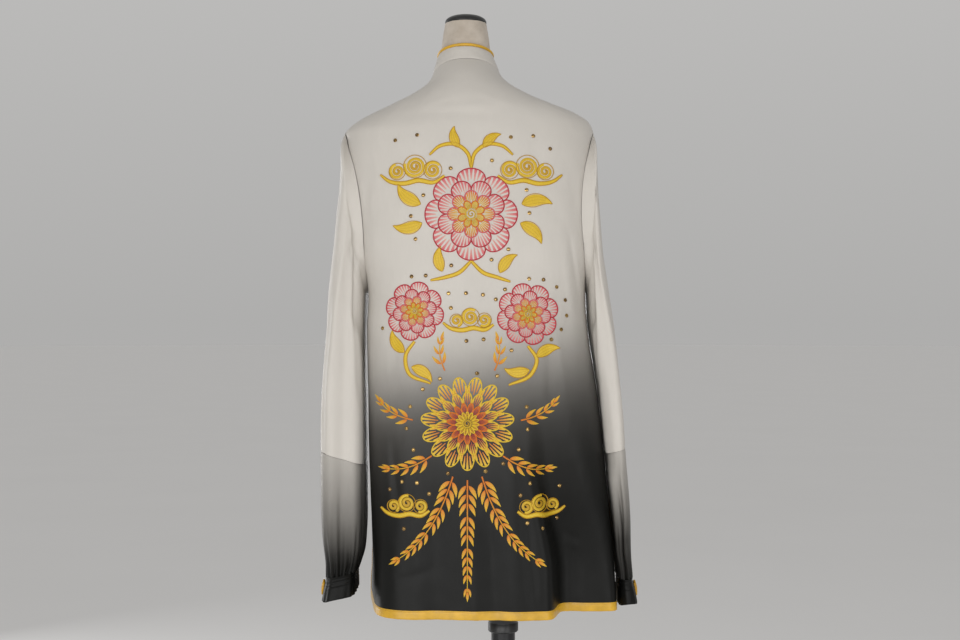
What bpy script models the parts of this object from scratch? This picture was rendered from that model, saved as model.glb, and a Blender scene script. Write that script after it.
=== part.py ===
"""Tai chi uniform jacket on a dress form. Metres, Z up, floor at z = 0, front of the jacket toward -Y."""
import math

import bmesh
import bpy
import numpy as np

# Cloth and trim
WALL = 0.0015
SEAM_GAP = 0.0004
BUTT_GAP = 0.0009
BINDING_WIDTH = 0.011
BINDING_THICK = 0.0008
BINDING_GAP = 0.0004
EDGE_ROOM = 0.0016
CENTRE_GAP = 0.0017
HEM_Z = 0.645
SLIT_TOP_Z = 0.800
SLIT_SPREAD = 0.005
SLIT_ROW = 0.012
BACK_POINTS = 33
FRONT_POINTS = 15
SPREAD_STEPS = 160
CENTRE_TURN = 0.05

# Armhole
UNDERARM_Z = 1.090
SHOULDER_Z = 1.3175
ARMHOLE_HALF_DEPTH = 0.058
ARMHOLE_STEPS = 6
SLEEVE_POINTS = 24

# Side seam: where its forward swing starts, over what height, and how far it turns on each side
SWING_TOP_Z = 0.96
SWING_HEIGHT = 0.16
SWING_LEFT = -0.42
SWING_RIGHT = 0.05

# Gathers of the sleeve ends and waves of the cuffs: their depth at each ring
GATHER_POINTS = 36
GATHERS = 12
SLEEVE_END_GATHERS = (0.0, 0.0, 0.0005, 0.0020, 0.0035, 0.0030)
CUFF_WAVES = (0.0016, 0.0004, 0.0016)

# Form and stand
FORM_GAP = 0.0023
FORM_POINTS = 24
NECK_MID = (0.0537, -0.042)
NECKLINE_GAP = 0.0012
NECK_TOP_Z = 1.4788
POLE_RADIUS = 0.0170
POLE_COLLAR_RADIUS = 0.0215
POLE_COLLAR_Z = (0.604, 0.640)
POLE_COLLAR_GAP = 0.0004
POLE_BASE_GAP = 0.0003
POLE_TOP_GAP = 0.0004
BASE_RADIUS = 0.180
BASE_THICK = 0.012
BASE_CHAMFER = 0.003
ROUND_POINTS = 32

# Jacket body by level: outer surface at both sides, at the back and at the front
BODY_COLUMNS = ("z", "left", "right", "side_y", "back", "front", "power", "tilt", "lean")
BODY = (
    (0.645, 0.1860, -0.1580, 0.000, 0.1200, -0.1270, 6.0, 0.0, 0.12),
    (0.710, 0.1860, -0.1550, 0.000, 0.1180, -0.1260, 4.8, 0.0, 0.09),
    (0.822, 0.1885, -0.1450, 0.004, 0.1140, -0.1240, 3.4, 0.0, 0.03),
    (0.935, 0.1910, -0.1340, 0.006, 0.1100, -0.1220, 2.8, 0.0, 0.0),
    (1.034, 0.1930, -0.1200, 0.005, 0.1070, -0.1220, 2.6, 0.0, 0.0),
    (1.090, 0.1920, -0.1170, 0.002, 0.1050, -0.1230, 2.5, 0.0, 0.0),
    (1.147, 0.2060, -0.1230, -0.002, 0.1020, -0.1240, 2.5, 0.0, 0.0),
    (1.204, 0.2180, -0.1275, -0.006, 0.0980, -0.1230, 2.4, 0.0, 0.0),
    (1.260, 0.2250, -0.1300, -0.010, 0.0920, -0.1190, 2.3, 0.0, 0.0),
    (1.302, 0.2270, -0.1300, -0.014, 0.0860, -0.1140, 2.2, 0.0, 0.0),
    (1.3175, 0.2250, -0.1290, -0.015, 0.0830, -0.1110, 2.1, 0.0, 0.0),
    (1.3334, 0.2060, -0.1200, -0.017, 0.0785, -0.1080, 2.0, 0.001, 0.0),
    (1.3450, 0.1840, -0.1010, -0.019, 0.0735, -0.1050, 2.0, 0.002, 0.0),
    (1.3565, 0.1600, -0.0720, -0.022, 0.0670, -0.1020, 2.0, 0.004, 0.0),
    (1.3680, 0.1360, -0.0420, -0.026, 0.0580, -0.0985, 2.0, 0.006, 0.0),
    (1.3795, 0.1150, -0.0170, -0.031, 0.0460, -0.0950, 2.0, 0.009, 0.0),
    (1.3910, 0.1050, -0.0020, -0.036, 0.0300, -0.0920, 2.0, 0.013, 0.0),
    (1.4016, 0.1015, 0.0035, -0.040, 0.0100, -0.0900, 2.0, 0.018, 0.0),
)

# How far the front opening turns off the body's own middle, to run straight to the collar
CENTRE_COLUMNS = ("z", "turn")
CENTRE_LINE = (
    (0.6450, 0.000), (1.2600, 0.000), (1.2850, 0.000), (1.3020, 0.000), (1.3175, 0.014),
    (1.3334, 0.077), (1.3450, 0.105),
    (1.3565, 0.088), (1.3680, 0.061), (1.3795, 0.045), (1.3910, 0.013), (1.4016, 0.000),
)

# Deep flute of the back: its crease line, and how far the cloth on its right steps in
FLUTE_COLUMNS = ("z", "x", "step", "width")
FLUTE = (
    (0.645, -0.0690, 0.50, 0.0070),
    (0.730, -0.0670, 0.46, 0.0070),
    (0.765, -0.0603, 0.40, 0.0075),
    (0.832, -0.0468, 0.24, 0.0085),
    (0.897, -0.0414, 0.11, 0.0100),
    (0.951, -0.0332, 0.03, 0.0120),
    (1.000, -0.0300, 0.00, 0.0120),
)

# Soft folds of body panels: side is 1 on the back and -1 on the front, depth is outward
FOLD_COLUMNS = ("side", "x_low", "x_high", "z_low", "z_high", "width", "depth")
FOLDS = (
    (1, -0.0640, -0.0600, 0.925, 1.040, 0.008, -0.0035),
    (1, -0.0950, -0.0850, 0.560, 0.890, 0.013, -0.0060),
    (1, 0.1600, 0.1650, 0.780, 0.890, 0.008, 0.0030),
    (1, 0.1050, 0.0950, 0.540, 0.860, 0.022, -0.0050),
    (1, -0.0150, -0.0050, 0.540, 0.960, 0.025, 0.0045),
    (-1, 0.1300, 0.1150, 0.520, 1.000, 0.020, -0.0080),
    (-1, 0.0700, 0.0750, 0.520, 0.940, 0.018, 0.0060),
    (-1, -0.0350, -0.0200, 0.520, 0.900, 0.018, 0.0055),
    (-1, -0.0950, -0.0650, 0.520, 1.020, 0.020, -0.0080),
)

# Sleeve rings: outer and inner end, middle and half depth across the body
SLEEVE_COLUMNS = ("out_x", "out_z", "in_x", "in_z", "mid_y", "half_y", "flute")
SLEEVE_LEFT = (
    (0.2292, 1.3000, 0.1945, 1.0850, -0.006, 0.0590, 0.0),
    (0.2300, 1.2750, 0.1948, 1.0790, -0.005, 0.0610, 0.0),
    (0.2325, 1.2400, 0.1952, 1.0710, -0.004, 0.0630, 0.1),
    (0.2368, 1.1980, 0.1955, 1.0600, -0.003, 0.0650, 0.3),
    (0.2415, 1.1500, 0.1958, 1.0450, -0.002, 0.0665, 0.5),
    (0.2472, 1.0900, 0.1960, 1.0230, 0.000, 0.0675, 0.7),
    (0.2512, 1.0300, 0.1958, 0.9900, 0.000, 0.0680, 0.9),
    (0.2558, 0.9750, 0.1950, 0.9520, 0.001, 0.0690, 1.0),
    (0.2585, 0.9200, 0.1944, 0.9050, 0.002, 0.0690, 1.0),
    (0.2592, 0.8660, 0.1940, 0.8460, 0.002, 0.0690, 1.0),
)
SLEEVE_RIGHT = (
    (-0.1312, 1.3000, -0.1185, 1.0850, -0.006, 0.0590, 0.0),
    (-0.1322, 1.2750, -0.1187, 1.0790, -0.006, 0.0610, 0.0),
    (-0.1344, 1.2400, -0.1190, 1.0710, -0.006, 0.0640, 0.1),
    (-0.1372, 1.1980, -0.1195, 1.0600, -0.006, 0.0670, 0.2),
    (-0.1415, 1.1450, -0.1202, 1.0450, -0.006, 0.0700, 0.3),
    (-0.1490, 1.0880, -0.1224, 1.0230, -0.006, 0.0720, 0.4),
    (-0.1570, 1.0300, -0.1275, 0.9900, -0.006, 0.0730, 0.5),
    (-0.1640, 0.9700, -0.1336, 0.9520, -0.006, 0.0740, 0.6),
    (-0.1685, 0.9200, -0.1390, 0.9050, -0.006, 0.0745, 0.6),
    (-0.1718, 0.8700, -0.1428, 0.8620, -0.006, 0.0750, 0.6),
)
SLEEVE_END_LEFT = (
    (0.2592, 0.8653, 0.1940, 0.8453, 0.002, 0.0690, 1.0),
    (0.2588, 0.8200, 0.1940, 0.8020, 0.002, 0.0690, 1.1),
    (0.2580, 0.7700, 0.1945, 0.7560, 0.003, 0.0680, 1.2),
    (0.2555, 0.7300, 0.1975, 0.7200, 0.003, 0.0620, 1.0),
    (0.2520, 0.7040, 0.2020, 0.7050, 0.003, 0.0540, 0.6),
    (0.2515, 0.6860, 0.2055, 0.6945, 0.003, 0.0470, 0.0),
)
SLEEVE_END_RIGHT = (
    (-0.1718, 0.8693, -0.1428, 0.8613, -0.006, 0.0750, 0.6),
    (-0.1778, 0.8200, -0.1482, 0.8130, -0.006, 0.0750, 0.8),
    (-0.1812, 0.7700, -0.1535, 0.7630, -0.006, 0.0730, 0.8),
    (-0.1815, 0.7300, -0.1575, 0.7230, -0.005, 0.0660, 0.6),
    (-0.1818, 0.7020, -0.1600, 0.6990, -0.003, 0.0560, 0.3),
    (-0.1830, 0.6860, -0.1610, 0.6850, 0.000, 0.0480, 0.0),
)
CUFF_LEFT = (
    (0.2520, 0.6855, 0.2052, 0.6940, 0.003, 0.0470, 0.0),
    (0.2547, 0.6690, 0.2056, 0.6800, 0.003, 0.0480, 0.0),
    (0.2575, 0.6510, 0.2060, 0.6660, 0.003, 0.0500, 0.0),
)
CUFF_RIGHT = (
    (-0.1835, 0.6855, -0.1610, 0.6845, 0.000, 0.0480, 0.0),
    (-0.1865, 0.6700, -0.1612, 0.6690, 0.000, 0.0485, 0.0),
    (-0.1900, 0.6500, -0.1614, 0.6480, 0.000, 0.0490, 0.0),
)

# Flutes round a sleeve, in degrees from its inner end over the back
SLEEVE_FLUTE_COLUMNS = ("angle", "width", "depth")
SLEEVE_FLUTES = (
    (40, 12, -0.0030),
    (84, 15, -0.0075),
    (148, 14, -0.0035),
    (212, 14, -0.0045),
    (262, 16, -0.0075),
    (312, 13, -0.0045),
)

# Torso of the form below the shoulders, then its neck
FORM_COLUMNS = ("z", "left", "right", "side_y", "back", "front", "power")
FORM = (
    (0.790, 0.1500, -0.0980, 0.000, 0.0850, -0.0850, 2.2),
    (0.830, 0.1580, -0.1060, 0.000, 0.0940, -0.0940, 2.2),
    (0.910, 0.1540, -0.0990, 0.000, 0.0900, -0.0900, 2.2),
    (1.010, 0.1400, -0.0740, 0.002, 0.0760, -0.0840, 2.2),
    (1.100, 0.1600, -0.0820, 0.000, 0.0860, -0.1080, 2.2),
    (1.200, 0.1850, -0.0930, -0.004, 0.0870, -0.1120, 2.2),
    (1.270, 0.2050, -0.1080, -0.010, 0.0820, -0.1080, 2.2),
    (1.302, 0.2150, -0.1180, -0.014, 0.0780, -0.1060, 2.2),
)
NECK_COLUMNS = ("z", "half_width", "half_depth", "tilt")
NECK = (
    (1.4160, 0.0370, 0.0370, 0.012),
    (1.4400, 0.0353, 0.0352, 0.006),
    (1.4600, 0.0332, 0.0338, 0.002),
    (NECK_TOP_Z, 0.0300, 0.0315, 0.000),
)
CAP_COLUMNS = ("rise", "share")
CAP = (
    (0.0004, 1.00),
    (0.0040, 0.99),
    (0.0090, 0.80),
    (0.0120, 0.45),
)
CAP_TIP_RISE = 0.0008

# Mandarin collar rings, base and top
COLLAR_COLUMNS = ("z", "mid_x", "half_width", "mid_y", "half_depth", "tilt")
COLLAR = (
    (1.4022, 0.0525, 0.0486, -0.040, 0.0494, 0.0180),
    (1.4130, 0.0531, 0.0456, -0.041, 0.0462, 0.0160),
    (1.4290, 0.0540, 0.0402, -0.042, 0.0412, 0.0105),
)
COLLAR_WALL = 0.0018
COLLAR_OPENING = 0.0035
COLLAR_POINTS = 26
PIPING_RADIUS = 0.0021
PIPING_GAP = 0.0004
PIPING_SIDES = 6

# Frog closures: distance from the front edge outward, half height and thickness
FROG_LEVELS = (1.352, 1.286, 1.206, 1.126, 1.046, 0.966)
FROG_LIFT = 0.0004
FROG_TOP_SHARE = 0.75
FROG_STEP = 0.002
FROG_COLUMNS = ("out", "half_height", "thick")
FROG_BAR = (
    (0.0060, 0.0030, 0.0030),
    (0.0160, 0.0028, 0.0026),
    (0.0250, 0.0030, 0.0026),
    (0.0290, 0.0075, 0.0034),
    (0.0350, 0.0098, 0.0036),
    (0.0410, 0.0078, 0.0034),
    (0.0450, 0.0028, 0.0026),
)
FROG_KNOT = (
    (-0.0048, 0.0022, 0.0030),
    (-0.0030, 0.0048, 0.0070),
    (0.0000, 0.0056, 0.0085),
    (0.0030, 0.0048, 0.0070),
)
CUFF_KNOT_TURNS = 2.2
CUFF_KNOT_HALF_WIDTH = 0.0085
CUFF_KNOT_HALF_HEIGHT = 0.0120
CUFF_KNOT_CORD = 0.0015
CUFF_KNOT_GAP = 0.0006
CUFF_KNOT_STATIONS = 36
CUFF_KNOT_START = 0.35
CUFF_KNOT_SIDES = 5

MATERIALS = {
    "satin_white": ((0.60, 0.57, 0.53), 0.42, 0.0),
    "satin_charcoal": ((0.025, 0.025, 0.022), 0.45, 0.0),
    "satin_gold": ((0.62, 0.36, 0.03), 0.35, 0.0),
    "form_cloth": ((0.52, 0.47, 0.38), 0.85, 0.0),
    "black_plastic": ((0.012, 0.012, 0.012), 0.40, 0.0),
    "black_steel": ((0.015, 0.015, 0.016), 0.35, 0.6),
}


def clear_scene():
    for old in list(bpy.data.objects):
        bpy.data.objects.remove(old)


def material(name):
    found = bpy.data.materials.get(name)
    if found:
        return found
    color, roughness, metallic = MATERIALS[name]
    made = bpy.data.materials.new(name)
    made.use_nodes = True
    shader = made.node_tree.nodes["Principled BSDF"]
    shader.inputs["Base Color"].default_value = (*color, 1.0)
    shader.inputs["Roughness"].default_value = roughness
    shader.inputs["Metallic"].default_value = metallic
    return made


def add_solid(name, points, faces, slot):
    """One closed mesh object, turned to face outward."""
    mesh = bpy.data.meshes.new(name)
    mesh.from_pydata([tuple(p) for p in points], [], faces)
    work = bmesh.new()
    work.from_mesh(mesh)
    bmesh.ops.remove_doubles(work, verts=work.verts, dist=1e-7)
    bmesh.ops.recalc_face_normals(work, faces=work.faces)
    if work.calc_volume(signed=True) < 0:
        bmesh.ops.reverse_faces(work, faces=work.faces)
    bmesh.ops.triangulate(work, faces=work.faces)
    work.to_mesh(mesh)
    work.free()
    own = material(slot).copy()
    own.name = name + "_material"
    mesh.materials.append(own)
    made = bpy.data.objects.new(name, mesh)
    bpy.context.scene.collection.objects.link(made)
    return made


def column(table, columns, name):
    return np.array([row[columns.index(name)] for row in table])


def track(table, columns, name, at):
    """A smooth curve through one column of a table, by its first column."""
    xs = np.array([row[0] for row in table])
    ys = column(table, columns, name)
    slopes = np.gradient(ys, xs)
    at = min(max(at, xs[0]), xs[-1])
    i = min(int(np.searchsorted(xs, at, side="right")) - 1, len(xs) - 2)
    step = xs[i + 1] - xs[i]
    t = (at - xs[i]) / step
    start = (1 + 2 * t) * (1 - t) ** 2 * ys[i] + t * (1 - t) ** 2 * step * slopes[i]
    end = t * t * (3 - 2 * t) * ys[i + 1] + t * t * (t - 1) * step * slopes[i + 1]
    return start + end


def oval(angle, half_x, half_y, power):
    """A point of a squared oval in the direction of the angle."""
    c = math.cos(angle)
    s = math.sin(angle)
    r = (abs(c / half_x) ** power + abs(s / half_y) ** power) ** (-1 / power)
    return r * c, r * s


def bump(x):
    return math.exp(-x * x)


def ease(x):
    x = min(max(x, 0.0), 1.0)
    return x * x * (3 - 2 * x)


def fold_shift(x, z, side):
    """How far soft folds move the cloth outward."""
    shift = 0.0
    for fold in FOLDS:
        f = dict(zip(FOLD_COLUMNS, fold))
        share = (z - f["z_low"]) / (f["z_high"] - f["z_low"])
        if f["side"] != side or not 0 < share < 1:
            continue
        middle = f["x_low"] + (f["x_high"] - f["x_low"]) * share
        reach = ease(4 * share) * ease(3 * (1 - share))
        shift += f["depth"] * reach * bump((x - middle) / f["width"])
    return shift


def body_point(z, angle, folds=True):
    """Outer surface of the jacket body. Angle 0 is the wearer's left, 90 degrees the back."""
    row = {name: track(BODY, BODY_COLUMNS, name, z) for name in BODY_COLUMNS}
    mid_x = (row["left"] + row["right"]) / 2
    half_x = (row["left"] - row["right"]) / 2
    behind = math.sin(angle) >= 0
    half_y = row["back"] - row["side_y"] if behind else row["side_y"] - row["front"]
    dx, dy = oval(angle, half_x, half_y, row["power"])
    x = mid_x + dx
    if folds:
        side = 1 if behind else -1
        across = abs(dy) / half_y
        dy += side * across * fold_shift(x, z, side)
        if behind and z < FLUTE[-1][0]:
            f = {name: track(FLUTE, FLUTE_COLUMNS, name, z) for name in FLUTE_COLUMNS}
            inside = 0.5 + 0.5 * math.tanh((f["x"] - x) / f["width"])
            dy *= 1 - f["step"] * inside * across
    x -= row["lean"] * dy * (1 + math.cos(angle)) / 2
    return np.array([x, row["side_y"] + dy, z + row["tilt"] * math.sin(angle)])


def body_normal(z, angle, folds=True):
    around = body_point(z, angle + 0.004, folds) - body_point(z, angle - 0.004, folds)
    up = body_point(min(z + 0.002, BODY[-1][0]), angle, folds) - body_point(z - 0.002, angle, folds)
    n = np.cross(around, up)
    return n / np.linalg.norm(n)


def angle_at(z, depth, left, behind):
    """The angle at which the body section is this far behind or before its side line."""
    row = {name: track(BODY, BODY_COLUMNS, name, z) for name in BODY_COLUMNS}
    half_x = (row["left"] - row["right"]) / 2
    half_y = row["back"] - row["side_y"] if behind else row["side_y"] - row["front"]
    x = half_x * (1 - (depth / half_y) ** row["power"]) ** (1 / row["power"])
    angle = math.atan2(depth, x)
    if not left:
        angle = math.pi - angle
    return angle if behind else -angle


def armhole_level(step):
    turn = math.pi * step / ARMHOLE_STEPS
    z = (UNDERARM_Z + SHOULDER_Z) / 2 - (SHOULDER_Z - UNDERARM_Z) / 2 * math.cos(turn)
    return z, ARMHOLE_HALF_DEPTH * math.sin(turn)


def seam_angle(z, left):
    """Side seam, which swings forward toward the hem on the wearer's left."""
    swing = ease((SWING_TOP_Z - z) / SWING_HEIGHT)
    return SWING_LEFT * swing if left else math.pi + SWING_RIGHT * swing


def body_levels():
    low = [HEM_Z, HEM_Z + BINDING_WIDTH, 0.695, 0.745, SLIT_TOP_Z - SLIT_ROW, SLIT_TOP_Z]
    low += [0.845, 0.890, 0.935, 0.985, 1.040]
    armhole = [armhole_level(step)[0] for step in range(ARMHOLE_STEPS + 1)]
    high = [row[0] for row in BODY if row[0] > SHOULDER_Z]
    return low, armhole, high


def edge_angle(z, left, behind):
    """Where a back or front panel ends: slit, side seam, armhole or shoulder seam."""
    point = body_point(z, 0.0 if left else math.pi, False)
    radius = abs(point[0] - body_point(z, math.pi if left else 0.0, False)[0]) / 2
    gap = SEAM_GAP / 2
    if z < SLIT_TOP_Z - SLIT_ROW / 2:
        gap = EDGE_ROOM + SLIT_SPREAD * (SLIT_TOP_Z - z) / (SLIT_TOP_Z - HEM_Z)
    if UNDERARM_Z < z < SHOULDER_Z - 1e-6:
        steps = [armhole_level(step) for step in range(ARMHOLE_STEPS + 1)]
        depth = min(steps, key=lambda level: abs(level[0] - z))[1]
        return angle_at(z, depth, left, behind)
    turn = gap / radius * (1 if behind == left else -1)
    return seam_angle(z, left) + turn


def spread(z, start, end, count):
    """Angles from start to end, even along the cloth, the outer ones a binding's width in."""
    dense = np.linspace(start, end, SPREAD_STEPS)
    points = np.array([body_point(z, a) for a in dense])
    runs = np.concatenate([[0], np.cumsum(np.linalg.norm(np.diff(points, axis=0), axis=1))])
    length = runs[-1]
    inner = np.linspace(BINDING_WIDTH, length - BINDING_WIDTH, count - 2)
    marks = np.concatenate([[0], inner, [length]])
    return np.interp(marks, runs, dense)


def panel_grid(levels, start_of, end_of, count):
    """Outer and inner points of a body panel, a row for each level."""
    outer = []
    inner = []
    for z in levels:
        angles = spread(z, start_of(z), end_of(z), count)
        row = np.array([body_point(z, a) for a in angles])
        normals = np.array([body_normal(z, a) for a in angles])
        outer.append(row)
        inner.append(row - normals * WALL)
    return np.array(outer), np.array(inner)


def sheet_faces(rows, cols, offset, flip):
    faces = []
    for r in range(rows - 1):
        for c in range(cols - 1):
            a = offset + r * cols + c
            quad = (a, a + 1, a + cols + 1, a + cols)
            faces.append(quad[::-1] if flip else quad)
    return faces


def sheet_solid(name, outer, inner, slot):
    """A wall between two grids, closed along its four edges."""
    rows, cols = outer.shape[:2]
    half = rows * cols
    points = np.concatenate([outer.reshape(-1, 3), inner.reshape(-1, 3)])
    faces = sheet_faces(rows, cols, 0, False) + sheet_faces(rows, cols, half, True)
    rim = list(range(cols))
    rim += [r * cols + cols - 1 for r in range(1, rows)]
    rim += [(rows - 1) * cols + c for c in range(cols - 2, -1, -1)]
    rim += [r * cols for r in range(rows - 2, 0, -1)]
    for a, b in zip(rim, rim[1:] + rim[:1]):
        faces.append((b, a, a + half, b + half))
    return add_solid(name, points, faces, slot)


def ring_normals(rings):
    """Outward directions of a tube given by rings of points."""
    around = np.roll(rings, -1, axis=1) - np.roll(rings, 1, axis=1)
    along = np.gradient(rings, axis=0)
    normals = np.cross(around, along)
    normals /= np.linalg.norm(normals, axis=2, keepdims=True)
    outward = rings - rings.mean(axis=1, keepdims=True)
    return normals if (normals * outward).sum() > 0 else -normals


def tube_solid(name, outer, inner, slot):
    """A tubular wall between two stacks of rings, open at both ends."""
    rows, cols = outer.shape[:2]
    half = rows * cols
    points = np.concatenate([outer.reshape(-1, 3), inner.reshape(-1, 3)])
    faces = []
    for c in range(cols):
        d = (c + 1) % cols
        for r in range(rows - 1):
            a, b = r * cols + c, r * cols + d
            faces.append((a, b, b + cols, a + cols))
            faces.append((a + half + cols, b + half + cols, b + half, a + half))
        faces.append((d, c, c + half, d + half))
        last = (rows - 1) * cols
        faces.append((last + c, last + d, last + d + half, last + c + half))
    return add_solid(name, points, faces, slot)


def loft_solid(name, rings, slot, tip=None):
    """A solid through rings, capped flat at both ends or drawn to a tip."""
    rows, cols = rings.shape[:2]
    points = list(rings.reshape(-1, 3))
    faces = [tuple(range(cols))[::-1]]
    for r in range(rows - 1):
        for c in range(cols):
            d = (c + 1) % cols
            faces.append((r * cols + c, r * cols + d, (r + 1) * cols + d, (r + 1) * cols + c))
    last = (rows - 1) * cols
    if tip is None:
        faces.append(tuple(last + c for c in range(cols)))
    else:
        points.append(tip)
        for c in range(cols):
            faces.append((last + c, last + (c + 1) % cols, len(points) - 1))
    return add_solid(name, points, faces, slot)


def level_ring(z, mid, half_x, half_y, count, tilt=0.0, power=2.0):
    """A ring round a middle point, higher at the back by the tilt."""
    ring = []
    for i in range(count):
        angle = 2 * math.pi * i / count
        dx, dy = oval(angle, half_x, half_y, power)
        ring.append((mid[0] + dx, mid[1] + dy, z + tilt * math.sin(angle)))
    return ring


def binding_solid(name, path, slot):
    """A folded strip over a cloth edge. Each path row holds the edge's outer point, its inner
    point, its normal, the direction off the edge, then the point a width in and its normal."""
    near = BINDING_GAP
    far = BINDING_GAP + BINDING_THICK
    rings = []
    for outer, inner, normal, off, deep, deep_normal in path:
        rings.append([
            deep + deep_normal * far,
            outer + normal * far + off * far,
            inner + off * far,
            inner + off * near,
            outer + normal * near + off * near,
            deep + deep_normal * near,
        ])
    return loft_solid(name, np.array(rings), slot)


def unit(v):
    return v / np.linalg.norm(v)


def edge_path(outer, inner, cells, corners):
    """Binding rows along a panel's rim cells. Each cell names a grid point and the one a width in."""
    path = []
    for (r, c), (dr, dc) in zip(cells, corners):
        edge = outer[r, c]
        normal = unit(edge - inner[r, c])
        off = np.zeros(3)
        if dr:
            off += unit(edge - outer[r + dr, c])
        if dc:
            off += unit(edge - outer[r, c + dc])
        deep = outer[r + dr, c + dc]
        deep_normal = unit(deep - inner[r + dr, c + dc])
        path.append((edge, inner[r, c], normal, off, deep, deep_normal))
    return path


def centre_angle(z):
    return -math.pi / 2 + float(track(CENTRE_LINE, CENTRE_COLUMNS, "turn", z))


def build_body():
    low, armhole, high = body_levels()
    levels = low + armhole + high

    def back_start(z):
        return edge_angle(z, True, True)

    def back_end(z):
        return edge_angle(z, False, True)

    def centre_turn(z):
        middle = centre_angle(z)
        points = [body_point(z, middle + d)[0] for d in (-CENTRE_TURN, CENTRE_TURN)]
        return 2 * CENTRE_TURN / abs(points[1] - points[0]) * CENTRE_GAP

    def left_start(z):
        return centre_angle(z) + centre_turn(z)

    def left_end(z):
        return edge_angle(z, True, False)

    def right_start(z):
        angle = edge_angle(z, False, False)
        return angle - 2 * math.pi if angle > 0 else angle

    def right_end(z):
        return centre_angle(z) - centre_turn(z)

    back = panel_grid(levels, back_start, back_end, BACK_POINTS)
    left = panel_grid(levels, left_start, left_end, FRONT_POINTS)
    right = panel_grid(levels, right_start, right_end, FRONT_POINTS)
    sheet_solid("jacket_back", *back, "satin_white")
    sheet_solid("jacket_front_left", *left, "satin_white")
    sheet_solid("jacket_front_right", *right, "satin_white")
    return levels, back, left, right


def build_bindings(levels, back, left, right):
    slit = levels.index(SLIT_TOP_Z - SLIT_ROW)
    top = len(levels) - 1

    def strip(name, grids, rise_start, rise_end):
        outer, inner = grids
        last = outer.shape[1] - 1
        cells = [(r, 0) for r in range(rise_start, 0, -1)]
        turns = [(0, 1)] * len(cells)
        cells += [(0, 0)]
        turns += [(1, 1)]
        cells += [(0, c) for c in range(1, last)]
        turns += [(1, 0)] * (last - 1)
        cells += [(0, last)]
        turns += [(1, -1)]
        rising = [(r, last) for r in range(1, rise_end + 1)]
        cells += rising
        turns += [(0, -1)] * len(rising)
        binding_solid(name, edge_path(outer, inner, cells, turns), "satin_gold")

    strip("binding_back", back, slit, slit)
    strip("binding_front_left", left, top, slit)
    strip("binding_front_right", right, slit, top)


def armhole_ring(left):
    """Points round the armhole from the underarm over the back to the shoulder and down the front."""
    ring = []
    for i in range(0, 2 * ARMHOLE_STEPS):
        behind = i < ARMHOLE_STEPS
        z, depth = armhole_level(i if behind else 2 * ARMHOLE_STEPS - i)
        point = body_point(z, angle_at(z, depth, left, behind), False)
        share = (z - UNDERARM_Z) / (SHOULDER_Z - UNDERARM_Z)
        shift = BUTT_GAP + WALL * share ** 2
        ring.append(point + np.array([shift if left else -shift, 0, 0]))
    ring = np.array(ring)
    between = (ring + np.roll(ring, -1, axis=0)) / 2
    return np.stack([ring, between], axis=1).reshape(-1, 3)


def flute_shift(degrees):
    """How far the flutes of a sleeve move its cloth outward."""
    shift = 0.0
    for row in SLEEVE_FLUTES:
        f = dict(zip(SLEEVE_FLUTE_COLUMNS, row))
        shift += f["depth"] * bump((degrees - f["angle"]) / f["width"])
    return shift


def sleeve_ring(row, count, gather=0.0):
    s = dict(zip(SLEEVE_COLUMNS, row))
    inner = np.array([s["in_x"], s["mid_y"], s["in_z"]])
    outer = np.array([s["out_x"], s["mid_y"], s["out_z"]])
    middle = (inner + outer) / 2
    half = (outer - inner) / 2
    ring = []
    for i in range(count):
        turn = 2 * math.pi * i / count
        degrees = math.degrees(turn)
        shift = s["flute"] * flute_shift(degrees)
        shift -= gather * (0.5 - 0.5 * math.cos(GATHERS * turn))
        depth = s["half_y"] + shift
        share = 1 + shift / np.linalg.norm(half) * 0.5
        across = -math.cos(turn) * share
        ring.append(middle + half * across + np.array([0, depth * math.sin(turn), 0]))
    return ring


def build_sleeve(side, table, end_table, cuff_table):
    left = side == "left"
    rings = np.array([armhole_ring(left)] + [sleeve_ring(row, SLEEVE_POINTS) for row in table])
    tube_solid("sleeve_" + side, rings, rings - ring_normals(rings) * WALL, "satin_white")
    ends = np.array([
        sleeve_ring(row, GATHER_POINTS, gather) for row, gather in zip(end_table, SLEEVE_END_GATHERS)
    ])
    tube_solid("sleeve_end_" + side, ends, ends - ring_normals(ends) * WALL, "satin_white")
    cuffs = np.array([
        sleeve_ring(row, GATHER_POINTS, wave) for row, wave in zip(cuff_table, CUFF_WAVES)
    ])
    tube_solid("cuff_" + side, cuffs, cuffs - ring_normals(cuffs) * WALL, "satin_charcoal")
    build_cuff_knot(side, cuffs)


def build_collar():
    rows = []
    for base in COLLAR:
        c = dict(zip(COLLAR_COLUMNS, base))
        open_angle = COLLAR_OPENING / c["half_width"] / 2
        angles = np.linspace(-math.pi / 2 + open_angle, 1.5 * math.pi - open_angle, COLLAR_POINTS)
        rows.append([
            (
                c["mid_x"] + c["half_width"] * math.cos(a),
                c["mid_y"] + c["half_depth"] * math.sin(a),
                c["z"] + c["tilt"] * math.sin(a),
            )
            for a in angles
        ])
    outer = np.array(rows)
    middle = outer.mean(axis=1, keepdims=True)
    inward = outer - middle
    inward[:, :, 2] = 0
    inward /= np.linalg.norm(inward, axis=2, keepdims=True)
    inner = outer - inward * COLLAR_WALL
    sheet_solid("collar_stand", outer, inner, "satin_white")
    line = (outer[-1] + inner[-1]) / 2 + np.array([0, 0, PIPING_RADIUS + PIPING_GAP])
    cord_solid("collar_piping", line, PIPING_RADIUS, PIPING_SIDES, "satin_gold")


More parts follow.
